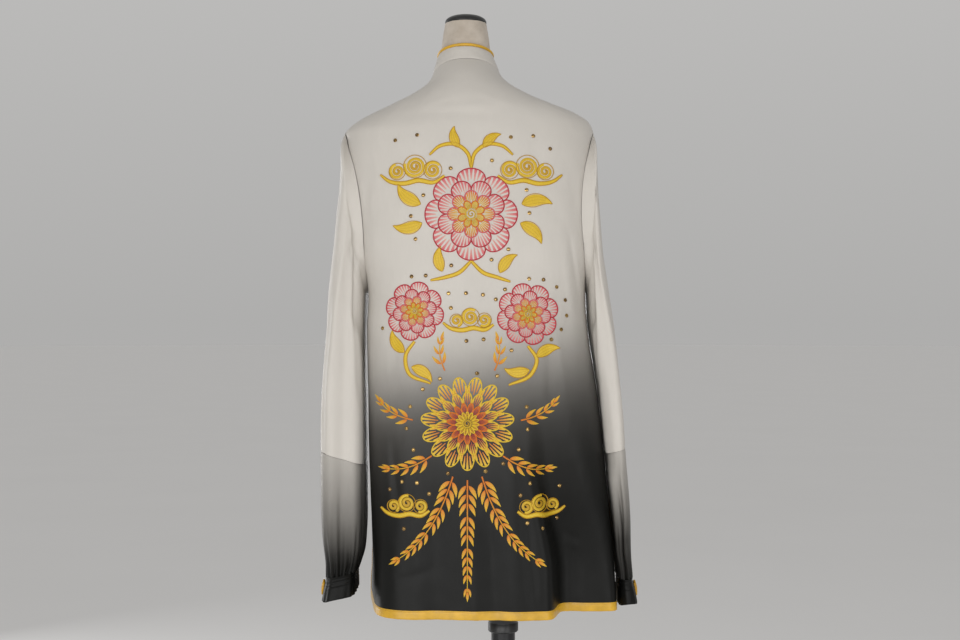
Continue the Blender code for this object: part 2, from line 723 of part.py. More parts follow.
def cord_solid(name, line, radius, sides, slot, outward=None):
    """A round cord along a line of points."""
    rings = []
    along = np.gradient(line, axis=0)
    for i, point in enumerate(line):
        t = unit(along[i])
        a = unit(np.cross(t, np.array([0, 0, 1.0]) if outward is None else outward[i]))
        b = np.cross(t, a)
        rings.append([
            point + radius * (math.cos(turn) * a + math.sin(turn) * b)
            for turn in np.linspace(0, 2 * math.pi, sides, endpoint=False)
        ])
    return loft_solid(name, np.array(rings), slot)


def front_frame(z, out, left):
    """A point of the front this far from the centre, its normal and the upward direction."""
    angle = centre_angle(z)
    step = FROG_STEP if left == (out >= 0) else -FROG_STEP
    here = body_point(z, angle)
    run = 0.0
    while run < abs(out):
        angle += step
        there = body_point(z, angle)
        run += np.linalg.norm(there - here)
        here = there
    normal = body_normal(z, angle)
    up = unit(body_point(z + 0.003, angle) - body_point(z - 0.003, angle))
    return here, normal, up


def frog_half(name, z, table, left, lift):
    rings = []
    for row in table:
        f = dict(zip(FROG_COLUMNS, row))
        point, normal, up = front_frame(z, f["out"], left)
        base = point + normal * lift
        top = base + normal * f["thick"]
        rise = up * f["half_height"]
        top_rise = rise * FROG_TOP_SHARE
        rings.append([base - rise, base + rise, top + top_rise, top - top_rise])
    loft_solid(name, np.array(rings), "satin_gold")


def build_frogs():
    lift = BINDING_GAP + BINDING_THICK + FROG_LIFT
    for number, z in enumerate(FROG_LEVELS, start=1):
        button = FROG_KNOT + FROG_BAR[1:]
        frog_half(f"frog_button_{number}", z, button, True, lift)
        frog_half(f"frog_loop_{number}", z, FROG_BAR, False, lift)


def build_cuff_knot(side, cuffs):
    """A cord coiled into a flat spiral on the outer end of a cuff."""
    sign = 1 if side == "left" else -1
    upper, centre, lower = cuffs[:, GATHER_POINTS // 2]
    up = unit(upper - lower)
    normal = unit(np.cross(up, np.array([0, 1.0, 0])))
    if normal[0] * sign < 0:
        normal = -normal
    centre = centre + normal * (CUFF_KNOT_CORD + CUFF_KNOT_GAP)
    sizes = (cuffs[1].max(axis=0) - cuffs[1].min(axis=0)) / 2
    curve = 2 * sizes[1] ** 2 / sizes[0]
    line = []
    last = 2 * math.pi * CUFF_KNOT_TURNS
    for turn in np.linspace(CUFF_KNOT_START, last, CUFF_KNOT_STATIONS):
        share = turn / last
        across = CUFF_KNOT_HALF_WIDTH * share * math.cos(turn)
        rise = CUFF_KNOT_HALF_HEIGHT * share * math.sin(turn)
        drop = across * across / curve
        line.append(centre + np.array([0, across, 0]) + up * rise - normal * drop)
    line = np.array(line)
    outward = np.tile(normal, (len(line), 1))
    cord_solid("cuff_knot_" + side, line, CUFF_KNOT_CORD, CUFF_KNOT_SIDES, "satin_gold", outward)


def build_form():
    rings = []
    for row in FORM:
        f = dict(zip(FORM_COLUMNS, row))
        mid_x = (f["left"] + f["right"]) / 2
        half_x = (f["left"] - f["right"]) / 2
        ring = []
        for i in range(FORM_POINTS):
            angle = 2 * math.pi * i / FORM_POINTS
            half_y = f["back"] - f["side_y"] if math.sin(angle) >= 0 else f["side_y"] - f["front"]
            dx, dy = oval(angle, half_x, half_y, f["power"])
            ring.append((mid_x + dx, f["side_y"] + dy, f["z"]))
        rings.append(ring)
    for row in BODY:
        if row[0] < SHOULDER_Z:
            continue
        ring = []
        for i in range(FORM_POINTS):
            angle = 2 * math.pi * i / FORM_POINTS
            normal = body_normal(row[0], angle, False)
            gap = FORM_GAP + (NECKLINE_GAP if row is BODY[-1] else 0)
            ring.append(body_point(row[0], angle, False) - normal * gap)
        rings.append(ring)
    for row in NECK:
        n = dict(zip(NECK_COLUMNS, row))
        rings.append(level_ring(n["z"], NECK_MID, n["half_width"], n["half_depth"], FORM_POINTS, n["tilt"]))
    loft_solid("form_torso", np.array(rings), "form_cloth")
    top = dict(zip(NECK_COLUMNS, NECK[-1]))
    caps = []
    for row in CAP:
        c = dict(zip(CAP_COLUMNS, row))
        half_x = top["half_width"] * c["share"]
        half_y = top["half_depth"] * c["share"]
        caps.append(level_ring(NECK_TOP_Z + c["rise"], NECK_MID, half_x, half_y, FORM_POINTS))
    tip = np.array([*NECK_MID, NECK_TOP_Z + CAP[-1][0] + CAP_TIP_RISE])
    loft_solid("form_neck_cap", np.array(caps), "black_plastic", tip)


def build_stand():
    shape = (
        (0, BASE_RADIUS),
        (BASE_THICK - BASE_CHAMFER, BASE_RADIUS),
        (BASE_THICK, BASE_RADIUS - BASE_CHAMFER),
    )
    base = [level_ring(z, (0, 0), radius, radius, ROUND_POINTS) for z, radius in shape]
    loft_solid("stand_base", np.array(base), "black_steel")
    bottom = BASE_THICK + POLE_BASE_GAP
    top = FORM[0][0] - POLE_TOP_GAP
    pole = [level_ring(z, (0, 0), POLE_RADIUS, POLE_RADIUS, ROUND_POINTS) for z in (bottom, top)]
    loft_solid("stand_pole", np.array(pole), "black_steel")
    outer = []
    inner = []
    for z in POLE_COLLAR_Z:
        outer.append(level_ring(z, (0, 0), POLE_COLLAR_RADIUS, POLE_COLLAR_RADIUS, ROUND_POINTS))
        near = POLE_RADIUS + POLE_COLLAR_GAP
        inner.append(level_ring(z, (0, 0), near, near, ROUND_POINTS))
    tube_solid("stand_collar", np.array(outer), np.array(inner), "black_plastic")


def build_jacket():
    levels, back, left, right = build_body()
    build_bindings(levels, back, left, right)
    build_sleeve("left", SLEEVE_LEFT, SLEEVE_END_LEFT, CUFF_LEFT)
    build_sleeve("right", SLEEVE_RIGHT, SLEEVE_END_RIGHT, CUFF_RIGHT)
    build_collar()
    build_frogs()


clear_scene()
build_jacket()
build_form()
build_stand()
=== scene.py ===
"""Looks of the tai chi jacket on its form: thin satin over the solids, gold trims, stitched flowers
and a plain studio. Metres, Z up, floor at z = 0, front of the jacket toward -Y."""
import math

import bpy
import numpy as np
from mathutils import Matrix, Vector, noise


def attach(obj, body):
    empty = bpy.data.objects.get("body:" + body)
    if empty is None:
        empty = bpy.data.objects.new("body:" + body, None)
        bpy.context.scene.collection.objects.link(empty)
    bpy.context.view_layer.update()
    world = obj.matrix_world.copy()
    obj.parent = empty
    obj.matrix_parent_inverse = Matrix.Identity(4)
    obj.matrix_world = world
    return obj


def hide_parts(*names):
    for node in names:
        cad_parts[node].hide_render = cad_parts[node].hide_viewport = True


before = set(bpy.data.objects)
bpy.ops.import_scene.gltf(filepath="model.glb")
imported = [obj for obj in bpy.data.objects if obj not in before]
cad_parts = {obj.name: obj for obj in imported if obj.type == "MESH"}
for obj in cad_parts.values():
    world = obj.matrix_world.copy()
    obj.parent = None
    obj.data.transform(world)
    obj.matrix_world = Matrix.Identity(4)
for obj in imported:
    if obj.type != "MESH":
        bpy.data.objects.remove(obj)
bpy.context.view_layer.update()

# Cloth and trim
CLOTH = 0.0011
SEAM_GAP = 0.0001
BINDING_WIDTH = 0.011
BINDING_THICK = 0.0009
EDGE_ROOM = 0.0016
EDGE_CELLS = 6
HEM_Z = 0.645
SLIT_TOP_Z = 0.800
SLIT_SPREAD = 0.005
UNDERARM_Z = 1.090
SHOULDER_Z = 1.3175
ARMHOLE_HALF_DEPTH = 0.058
ARMHOLE_SHIFT = 0.0001
CENTRE_GAP = 0.0017
SEAM_DIP = 0.0006
SEAM_DIP_WIDTH = 0.0035
SLIT_END = 0.008
SEAM_SWING_TOP_Z = 0.96
SEAM_SWING_DROP = 0.16
SEAM_SWING_LEFT = 0.42
SEAM_SWING_RIGHT = 0.05
NECKLINE_Z = 1.4016
CENTRE_PROBE = 0.05
BLUNT_TIP = 0.15

# Uneven swell of the cloth, and how near an edge it dies out
CRUMPLE_COLUMNS = ("stretch", "height", "seed")
BODY_CRUMPLE = (((34, 34, 11), 0.0009, 0), ((110, 110, 46), 0.0003, 9))
TUBE_CRUMPLE = (((38, 38, 12), 0.0010, 0), ((120, 120, 40), 0.00015, 5))
COLLAR_CRUMPLE = (((60, 60, 120), 0.0005, 0),)
NECK_CRUMPLE = (((95, 95, 150), 0.0006, 0),)
HEM_CALM = 0.02
NECK_CALM = 0.012
TUBE_CALM = 0.06

# Form and stand
FORM_GAP = 0.0042
NECK_MID = (0.0537, -0.042)
NECK_TOP_Z = 1.4788
POLE_RADIUS = 0.0170
POLE_COLLAR_RADIUS = 0.0215
BASE_RADIUS = 0.180
BASE_THICK = 0.012
BASE_EDGE = 0.0022
# How far the pole's foot stands out from it, and its collar in from its own radius, by height
POLE_PROFILE = (
    (0.0065, 0.0122), (0.0070, 0.0128), (0.0070, 0.0172), (0.0055, 0.0188), (0.0008, 0.0207),
    (0.0, 0.0232), (0.0, 0.30), (0.0, 0.60), (0.0, 0.785),
)
POLE_COLLAR_PROFILE = (
    (0.0041, 0.6042), (0.0012, 0.6042), (0.0, 0.6056), (0.0, 0.6165), (0.0008, 0.6175),
    (0.0008, 0.6185), (0.0, 0.6195), (0.0, 0.6384), (0.0012, 0.6398), (0.0041, 0.6398),
)

# Grid sizes
BACK_COLUMNS = 150
FRONT_COLUMNS = 64
LOW_ROWS = 104
ARMHOLE_ROWS = 40
HIGH_ROWS = 26
SLEEVE_POINTS = 112
SLEEVE_ROWS = 110
END_POINTS = 208
END_ROWS = 60
CUFF_ROWS = 44
DENSE_STEPS = 260

# Jacket body by level, as its solids have it
BODY_COLUMNS = ("z", "left", "right", "side_y", "back", "front", "power", "tilt", "lean")
BODY = (
    (0.645, 0.1860, -0.1580, 0.000, 0.1200, -0.1270, 6.0, 0.0, 0.12),
    (0.710, 0.1860, -0.1550, 0.000, 0.1180, -0.1260, 4.8, 0.0, 0.09),
    (0.822, 0.1885, -0.1450, 0.004, 0.1140, -0.1240, 3.4, 0.0, 0.03),
    (0.935, 0.1910, -0.1340, 0.006, 0.1100, -0.1220, 2.8, 0.0, 0.0),
    (1.034, 0.1930, -0.1200, 0.005, 0.1070, -0.1220, 2.6, 0.0, 0.0),
    (1.090, 0.1920, -0.1170, 0.002, 0.1050, -0.1230, 2.5, 0.0, 0.0),
    (1.147, 0.2060, -0.1230, -0.002, 0.1020, -0.1240, 2.5, 0.0, 0.0),
    (1.204, 0.2180, -0.1275, -0.006, 0.0980, -0.1230, 2.4, 0.0, 0.0),
    (1.260, 0.2250, -0.1300, -0.010, 0.0920, -0.1190, 2.3, 0.0, 0.0),
    (1.302, 0.2270, -0.1300, -0.014, 0.0860, -0.1140, 2.2, 0.0, 0.0),
    (1.3175, 0.2250, -0.1290, -0.015, 0.0830, -0.1110, 2.1, 0.0, 0.0),
    (1.3334, 0.2060, -0.1200, -0.017, 0.0785, -0.1080, 2.0, 0.001, 0.0),
    (1.3450, 0.1840, -0.1010, -0.019, 0.0735, -0.1050, 2.0, 0.002, 0.0),
    (1.3565, 0.1600, -0.0720, -0.022, 0.0670, -0.1020, 2.0, 0.004, 0.0),
    (1.3680, 0.1360, -0.0420, -0.026, 0.0580, -0.0985, 2.0, 0.006, 0.0),
    (1.3795, 0.1150, -0.0170, -0.031, 0.0460, -0.0950, 2.0, 0.009, 0.0),
    (1.3910, 0.1050, -0.0020, -0.036, 0.0300, -0.0920, 2.0, 0.013, 0.0),
    (1.4016, 0.1015, 0.0035, -0.040, 0.0100, -0.0900, 2.0, 0.018, 0.0),
)
# How far the front opening turns off the body's own middle, to run straight to the collar
CENTRE_COLUMNS = ("z", "turn")
CENTRE_LINE = (
    (0.6450, 0.000), (1.2600, 0.000), (1.2850, 0.000), (1.3020, 0.000), (1.3175, 0.014),
    (1.3334, 0.077), (1.3450, 0.105),
    (1.3565, 0.088), (1.3680, 0.061), (1.3795, 0.045), (1.3910, 0.013), (1.4016, 0.000),
)
FLUTE_COLUMNS = ("z", "x", "step", "width")
FLUTE = (
    (0.645, -0.0690, 0.50, 0.0070),
    (0.730, -0.0670, 0.46, 0.0070),
    (0.765, -0.0603, 0.40, 0.0075),
    (0.832, -0.0468, 0.24, 0.0085),
    (0.897, -0.0414, 0.11, 0.0100),
    (0.951, -0.0332, 0.03, 0.0120),
    (1.000, -0.0300, 0.00, 0.0120),
)

# Soft folds: the solids' nine, then creases that only the cloth has
FOLD_COLUMNS = ("side", "x_low", "x_high", "z_low", "z_high", "width", "depth")
FOLDS = (
    (1, -0.0640, -0.0600, 0.925, 1.040, 0.008, -0.0035),
    (1, -0.0950, -0.0850, 0.560, 0.890, 0.013, -0.0060),
    (1, 0.1600, 0.1650, 0.780, 0.890, 0.008, 0.0030),
    (1, 0.1050, 0.0950, 0.540, 0.860, 0.022, -0.0050),
    (1, -0.0150, -0.0050, 0.540, 0.960, 0.025, 0.0045),
    (-1, 0.1300, 0.1150, 0.520, 1.000, 0.020, -0.0080),
    (-1, 0.0700, 0.0750, 0.520, 0.940, 0.018, 0.0060),
    (-1, -0.0350, -0.0200, 0.520, 0.900, 0.018, 0.0055),
    (-1, -0.0950, -0.0650, 0.520, 1.020, 0.020, -0.0080),
    (1, -0.1060, -0.0880, 1.070, 1.180, 0.004, -0.0030),
    (1, -0.0990, -0.0820, 1.040, 1.150, 0.006, 0.0020),
    (1, 0.1480, 0.1560, 0.800, 0.905, 0.005, -0.0022),
    (1, 0.1690, 0.1720, 0.760, 0.850, 0.005, 0.0022),
    (1, 0.0450, 0.0560, 0.560, 0.830, 0.012, 0.0020),
    (1, 0.0120, 0.0260, 0.600, 0.800, 0.010, -0.0018),
    (1, -0.0380, -0.0240, 0.640, 0.830, 0.007, -0.0020),
    (1, 0.1560, 0.1350, 0.960, 1.090, 0.007, -0.0018),
    (1, -0.1020, -0.0900, 1.180, 1.275, 0.006, -0.0016),
    (1, 0.1960, 0.1840, 1.150, 1.280, 0.006, -0.0018),
    (1, -0.0850, -0.0720, 0.940, 1.040, 0.006, 0.0015),
    (-1, 0.1720, 0.1520, 1.060, 1.190, 0.006, -0.0030),
    (-1, 0.1580, 0.1400, 1.020, 1.150, 0.007, 0.0020),
    (-1, -0.1020, -0.0840, 1.060, 1.180, 0.006, -0.0030),
    (-1, 0.1500, 0.1440, 0.700, 0.920, 0.009, -0.0025),
    (-1, 0.0960, 0.1010, 0.600, 0.820, 0.010, -0.0022),
    (-1, -0.0680, -0.0560, 0.620, 0.860, 0.010, -0.0024),
    (-1, 0.1380, 0.1160, 1.200, 1.300, 0.008, -0.0016),
    (-1, -0.0560, -0.0400, 1.190, 1.300, 0.008, -0.0016),
)

# Soft ridges across the cloth: middle, half length, half height, turn in degrees, depth
WRINKLE_COLUMNS = ("side", "x", "z", "half_length", "half_height", "turn", "depth")
WRINKLES = (
    (1, 0.120, 1.075, 0.016, 0.0022, -8, 0.0012),
    (1, 0.124, 1.083, 0.018, 0.0022, 4, -0.0010),
    (1, 0.118, 1.066, 0.012, 0.0020, -2, -0.0008),
    (1, 0.020, 1.243, 0.040, 0.0060, 6, 0.0010),
    (1, -0.012, 1.222, 0.030, 0.0050, 8, -0.0010),
    (1, 0.110, 1.262, 0.050, 0.0070, -6, 0.0010),
    (1, 0.060, 1.331, 0.060, 0.0050, 2, -0.0010),
    (1, 0.036, 1.343, 0.050, 0.0045, -3, 0.0010),
    (1, 0.092, 1.349, 0.030, 0.0040, -14, 0.0009),
    (1, 0.012, 1.351, 0.026, 0.0040, 16, 0.0009),
    (1, 0.150, 1.214, 0.028, 0.0060, -32, -0.0012),
    (1, -0.070, 1.196, 0.028, 0.0060, 34, -0.0012),
    (1, 0.030, 0.900, 0.040, 0.0080, 12, 0.0010),
    (1, -0.088, 0.752, 0.018, 0.0040, 28, -0.0010),
    (1, -0.094, 0.738, 0.016, 0.0030, 20, 0.0008),
    (1, 0.140, 0.700, 0.030, 0.0060, -18, -0.0010),
    (-1, 0.150, 1.210, 0.030, 0.0060, -30, -0.0014),
    (-1, -0.060, 1.200, 0.030, 0.0060, 30, -0.0014),
    (-1, 0.100, 1.060, 0.030, 0.0050, -10, 0.0010),
    (-1, -0.020, 1.030, 0.026, 0.0050, 12, 0.0010),
)

# Sleeve rings, as the solids have them
SLEEVE_COLUMNS = ("out_x", "out_z", "in_x", "in_z", "mid_y", "half_y", "flute")
SLEEVE_LEFT = (
    (0.2292, 1.3000, 0.1945, 1.0850, -0.006, 0.0590, 0.0),
    (0.2300, 1.2750, 0.1948, 1.0790, -0.005, 0.0610, 0.0),
    (0.2325, 1.2400, 0.1952, 1.0710, -0.004, 0.0630, 0.1),
    (0.2368, 1.1980, 0.1955, 1.0600, -0.003, 0.0650, 0.3),
    (0.2415, 1.1500, 0.1958, 1.0450, -0.002, 0.0665, 0.5),
    (0.2472, 1.0900, 0.1960, 1.0230, 0.000, 0.0675, 0.7),
    (0.2512, 1.0300, 0.1958, 0.9900, 0.000, 0.0680, 0.9),
    (0.2558, 0.9750, 0.1950, 0.9520, 0.001, 0.0690, 1.0),
    (0.2585, 0.9200, 0.1944, 0.9050, 0.002, 0.0690, 1.0),
    (0.2592, 0.8660, 0.1940, 0.8460, 0.002, 0.0690, 1.0),
)
SLEEVE_RIGHT = (
    (-0.1312, 1.3000, -0.1185, 1.0850, -0.006, 0.0590, 0.0),
    (-0.1322, 1.2750, -0.1187, 1.0790, -0.006, 0.0610, 0.0),
    (-0.1344, 1.2400, -0.1190, 1.0710, -0.006, 0.0640, 0.1),
    (-0.1372, 1.1980, -0.1195, 1.0600, -0.006, 0.0670, 0.2),
    (-0.1415, 1.1450, -0.1202, 1.0450, -0.006, 0.0700, 0.3),
    (-0.1490, 1.0880, -0.1224, 1.0230, -0.006, 0.0720, 0.4),
    (-0.1570, 1.0300, -0.1275, 0.9900, -0.006, 0.0730, 0.5),
    (-0.1640, 0.9700, -0.1336, 0.9520, -0.006, 0.0740, 0.6),
    (-0.1685, 0.9200, -0.1390, 0.9050, -0.006, 0.0745, 0.6),
    (-0.1718, 0.8700, -0.1428, 0.8620, -0.006, 0.0750, 0.6),
)
SLEEVE_END_LEFT = (
    (0.2592, 0.8656, 0.1940, 0.8456, 0.002, 0.0690, 1.0),
    (0.2588, 0.8200, 0.1940, 0.8020, 0.002, 0.0690, 1.1),
    (0.2580, 0.7700, 0.1945, 0.7560, 0.003, 0.0680, 1.2),
    (0.2555, 0.7300, 0.1975, 0.7200, 0.003, 0.0620, 1.0),
    (0.2520, 0.7040, 0.2020, 0.7050, 0.003, 0.0540, 0.6),
    (0.2515, 0.6860, 0.2055, 0.6945, 0.003, 0.0470, 0.0),
)
SLEEVE_END_RIGHT = (
    (-0.1718, 0.8696, -0.1428, 0.8616, -0.006, 0.0750, 0.6),
    (-0.1778, 0.8200, -0.1482, 0.8130, -0.006, 0.0750, 0.8),
    (-0.1812, 0.7700, -0.1535, 0.7630, -0.006, 0.0730, 0.8),
    (-0.1815, 0.7300, -0.1575, 0.7230, -0.005, 0.0660, 0.6),
    (-0.1818, 0.7020, -0.1600, 0.6990, -0.003, 0.0560, 0.3),
    (-0.1830, 0.6860, -0.1610, 0.6850, 0.000, 0.0480, 0.0),
)
CUFF_LEFT = (
    (0.2520, 0.6858, 0.2052, 0.6943, 0.003, 0.0470, 0.0),
    (0.2532, 0.6770, 0.2054, 0.6880, 0.003, 0.0455, 0.0),
    (0.2547, 0.6690, 0.2056, 0.6800, 0.003, 0.0470, 0.0),
    (0.2575, 0.6510, 0.2060, 0.6660, 0.003, 0.0505, 0.0),
)
CUFF_RIGHT = (
    (-0.1835, 0.6858, -0.1610, 0.6848, 0.000, 0.0480, 0.0),
    (-0.1848, 0.6770, -0.1611, 0.6765, 0.000, 0.0465, 0.0),
    (-0.1865, 0.6700, -0.1612, 0.6690, 0.000, 0.0478, 0.0),
    (-0.1900, 0.6500, -0.1614, 0.6480, 0.000, 0.0500, 0.0),
)
SLEEVES = (
    ("left", SLEEVE_LEFT, SLEEVE_END_LEFT, CUFF_LEFT, 3.0),
    ("right", SLEEVE_RIGHT, SLEEVE_END_RIGHT, CUFF_RIGHT, 17.0),
)
SLEEVE_POWER = 3.0
CUFF_STITCH_ROWS = (0.10, 0.24, 0.38)
# The wedge-shaped fold low on the right sleeve: shares of its end's length, degrees round it, depth
WEDGE_FROM = 0.12
WEDGE_TO = 0.86
WEDGE_ANGLE = 88.0
WEDGE_WIDTH = 9.0
WEDGE_DEPTH = 0.0085
WEDGE_TAPER = 1.5
# How far its back leans over the body's edge
SKEW = 0.0045
SLEEVE_FLUTE_COLUMNS = ("angle", "width", "depth")
SLEEVE_FLUTES = (
    (40, 12, -0.0030),
    (84, 15, -0.0075),
    (148, 14, -0.0035),
    (212, 14, -0.0045),
    (262, 16, -0.0075),
    (312, 13, -0.0045),
)

# Fine creases of a sleeve: degrees round it at both ends, share of its length, width, depth
CREASE_COLUMNS = ("start", "end", "from_share", "to_share", "width", "depth")
SLEEVE_CREASES = (
    (62, 58, 0.00, 0.46, 13, -0.0050),
    (52, 50, 0.40, 1.20, 13, 0.0030),
    (66, 58, 0.25, 0.80, 5, -0.0016),
    (104, 112, 0.10, 0.95, 6, 0.0016),
    (122, 118, 0.35, 1.10, 5, -0.0015),
    (60, 90, -0.05, 0.22, 6, -0.0020),
    (40, 64, 0.00, 0.20, 6, 0.0016),
    (30, 40, 0.55, 1.05, 6, 0.0014),
    (170, 160, 0.20, 0.90, 7, -0.0014),
    (196, 188, 0.05, 0.60, 7, 0.0014),
    (236, 244, 0.15, 0.95, 6, -0.0018),
    (286, 276, 0.10, 0.80, 6, 0.0018),
    (300, 272, -0.05, 0.24, 6, -0.0020),
    (330, 322, 0.40, 1.05, 6, -0.0014),
    (150, 159, 0.05, 0.60, 8, -0.0024),
    (184, 176, 0.28, 1.15, 9, -0.0026),
    (207, 215, 0.42, 1.15, 8, -0.0024),
    (190, 203, -0.05, 0.36, 7, -0.0020),
)

# Neck of the form and its cap
NECK_COLUMNS = ("z", "half_width", "half_depth", "tilt")
NECK = (
    (1.4160, 0.0370, 0.0370, 0.012),
    (1.4400, 0.0353, 0.0352, 0.006),
    (1.4600, 0.0332, 0.0338, 0.002),
    (NECK_TOP_Z, 0.0300, 0.0315, 0.000),
)
CAP_COLUMNS = ("rise", "share")
CAP = (
    (0.0004, 1.00), (0.0022, 1.005), (0.0046, 0.98),
    (0.0090, 0.80), (0.0115, 0.50), (0.0128, 0.06),
)
FORM_COLUMNS = ("z", "left", "right", "side_y", "back", "front")
FORM = (
    (0.790, 0.1500, -0.0980, 0.000, 0.0850, -0.0850),
    (0.830, 0.1580, -0.1060, 0.000, 0.0940, -0.0940),
    (0.910, 0.1540, -0.0990, 0.000, 0.0900, -0.0900),
    (1.010, 0.1400, -0.0740, 0.002, 0.0760, -0.0840),
    (1.100, 0.1600, -0.0820, 0.000, 0.0860, -0.1080),
    (1.200, 0.1850, -0.0930, -0.004, 0.0870, -0.1120),
    (1.270, 0.2050, -0.1080, -0.010, 0.0820, -0.1080),
    (1.302, 0.2150, -0.1180, -0.014, 0.0780, -0.1060),
)
FORM_POWER = 2.2

COLLAR_COLUMNS = ("z", "mid_x", "half_width", "mid_y", "half_depth", "tilt")
COLLAR = (
    (1.4022, 0.0525, 0.0486, -0.040, 0.0494, 0.0180),
    (1.4130, 0.0531, 0.0456, -0.041, 0.0462, 0.0160),
    (1.4290, 0.0540, 0.0402, -0.042, 0.0412, 0.0105),
)
COLLAR_WALL = 0.0018
COLLAR_OPENING = 0.0035
PIPING_RADIUS = 0.0021

FROG_LEVELS = (1.352, 1.286, 1.206, 1.126, 1.046, 0.966)
FROG_CORD = 0.00125
FROG_COIL_MIDDLE = 0.0350
FROG_COIL_RADIUS = 0.0085
FROG_COIL_TURNS = 3.1
KNOT_RADIUS = 0.0042

# Photograph's viewing angle
CAMERA_PLACE = (0.033, 2.07, 1.048)
FOCAL_PIXELS = 1450.0
FRAME_PIXELS = 960.0
SENSOR = 36.0


def named(columns, table):
    """The rows of a table, each as a dictionary."""
    return [dict(zip(columns, row)) for row in table]


def column(table, columns, name):
    return np.array([row[columns.index(name)] for row in table])


def unit(vectors):
    return vectors / np.maximum(np.linalg.norm(vectors, axis=-1, keepdims=True), 1e-12)


def run_along(points):
    """The run to each point from the first, on a line or on each row of a grid."""
    steps = np.linalg.norm(np.diff(points, axis=-2), axis=-1)
    return np.concatenate([np.zeros(steps.shape[:-1] + (1,)), np.cumsum(steps, axis=-1)], axis=-1)


def round_steps(count, whole=2 * math.pi):
    """Even steps round a closed ring."""
    return whole * np.arange(count) / count


def down_rows(rows):
    """The share of the way down a grid, for each row."""
    return np.linspace(0, 1, rows)[:, None]


def curve(at, values, marks):
    """A smooth curve through values at their places, read at the marks."""
    i = np.clip(np.searchsorted(at, marks, side="right") - 1, 0, len(at) - 2)
    step = at[i + 1] - at[i]
    t = (marks - at[i]) / step
    slopes = np.gradient(values, at, axis=0)
    weights = (
        (1 + 2 * t) * (1 - t) ** 2,
        t * (1 - t) ** 2 * step,
        t * t * (3 - 2 * t),
        t * t * (t - 1) * step,
    )
    a, b, c, d = (np.reshape(w, np.shape(w) + (1,) * (values.ndim - 1)) for w in weights)
    return a * values[i] + b * slopes[i] + c * values[i + 1] + d * slopes[i + 1]


def track(table, columns, name, at):
    """A smooth curve through one column of a table, by its first column."""
    places = column(table, columns, columns[0])
    return curve(places, column(table, columns, name), np.clip(at, places[0], places[-1]))


def tracks(table, columns, at):
    """Every column of a table on its smooth curve."""
    return {name: track(table, columns, name, at) for name in columns}


def bump(x):
    return np.exp(-x * x)


def ease(x):
    x = np.clip(x, 0.0, 1.0)
    return x * x * (3 - 2 * x)


def oval(angle, half_x, half_y, power):
    c = np.cos(angle)
    s = np.sin(angle)
    r = (np.abs(c / half_x) ** power + np.abs(s / half_y) ** power) ** (-1 / power)
    return r * c, r * s


def section(row, angle, power):
    """A level's points across, behind its side line, and its half depth on that side."""
    half_x = (row["left"] - row["right"]) / 2
    half_y = np.where(np.sin(angle) >= 0, row["back"] - row["side_y"], row["side_y"] - row["front"])
    dx, dy = oval(angle, half_x, half_y, power)
    return (row["left"] + row["right"]) / 2 + dx, dy, half_y


def fold_shift(x, z, side):
    """How far soft folds and wrinkles move the cloth outward."""
    shift = np.zeros(x.shape)
    for f in named(FOLD_COLUMNS, FOLDS):
        share = (z - f["z_low"]) / (f["z_high"] - f["z_low"])
        middle = f["x_low"] + (f["x_high"] - f["x_low"]) * share
        reach = ease(4 * share) * ease(3 * (1 - share))
        shift += (side == f["side"]) * f["depth"] * reach * bump((x - middle) / f["width"])
    for w in named(WRINKLE_COLUMNS, WRINKLES):
        turn = math.radians(w["turn"])
        along = (x - w["x"]) * math.cos(turn) + (z - w["z"]) * math.sin(turn)
        across = (z - w["z"]) * math.cos(turn) - (x - w["x"]) * math.sin(turn)
        near = bump(along / w["half_length"]) * bump(across / w["half_height"])
        shift += (side == w["side"]) * w["depth"] * near
    return shift


def body_surface(z, angle):
    """Outer surface of the jacket body. Angle 0 is the wearer's left, 90 degrees the back."""
    z, angle = np.broadcast_arrays(np.asarray(z, float), np.asarray(angle, float))
    row = tracks(BODY, BODY_COLUMNS, z)
    x, dy, half_y = section(row, angle, row["power"])
    across = np.abs(dy) / half_y
    behind = np.sin(angle) >= 0
    side = np.where(behind, 1, -1)
    dy = dy + side * across * fold_shift(x, z, side)
    flute = tracks(FLUTE, FLUTE_COLUMNS, z)
    inside = 0.5 + 0.5 * np.tanh((flute["x"] - x) / flute["width"])
    dy = dy * np.where(behind, 1 - flute["step"] * inside * across, 1.0)
    x = x - row["lean"] * dy * (1 + np.cos(angle)) / 2
    return np.stack([x, row["side_y"] + dy, z + row["tilt"] * np.sin(angle)], axis=-1)


def angle_at(z, depth, left, behind):
    """The angle at which the body section is this far behind or before its side line."""
    row = tracks(BODY, BODY_COLUMNS, z)
    half_x = (row["left"] - row["right"]) / 2
    half_y = row["back"] - row["side_y"] if behind else row["side_y"] - row["front"]
    x = half_x * (1 - (depth / half_y) ** row["power"]) ** (1 / row["power"])
    angle = math.atan2(depth, x)
    if not left:
        angle = math.pi - angle
    return angle if behind else -angle


def armhole_at(turn):
    """Height and depth of the armhole edge, turning from the underarm to the shoulder."""
    middle = (UNDERARM_Z + SHOULDER_Z) / 2
    half = (SHOULDER_Z - UNDERARM_Z) / 2
    return middle - half * np.cos(turn), ARMHOLE_HALF_DEPTH * np.abs(np.sin(turn))


def seam_angle(z, left):
    """The side seam, which swings forward below the waist."""
    swing = ease((SEAM_SWING_TOP_Z - z) / SEAM_SWING_DROP)
    return -SEAM_SWING_LEFT * swing if left else math.pi + SEAM_SWING_RIGHT * swing


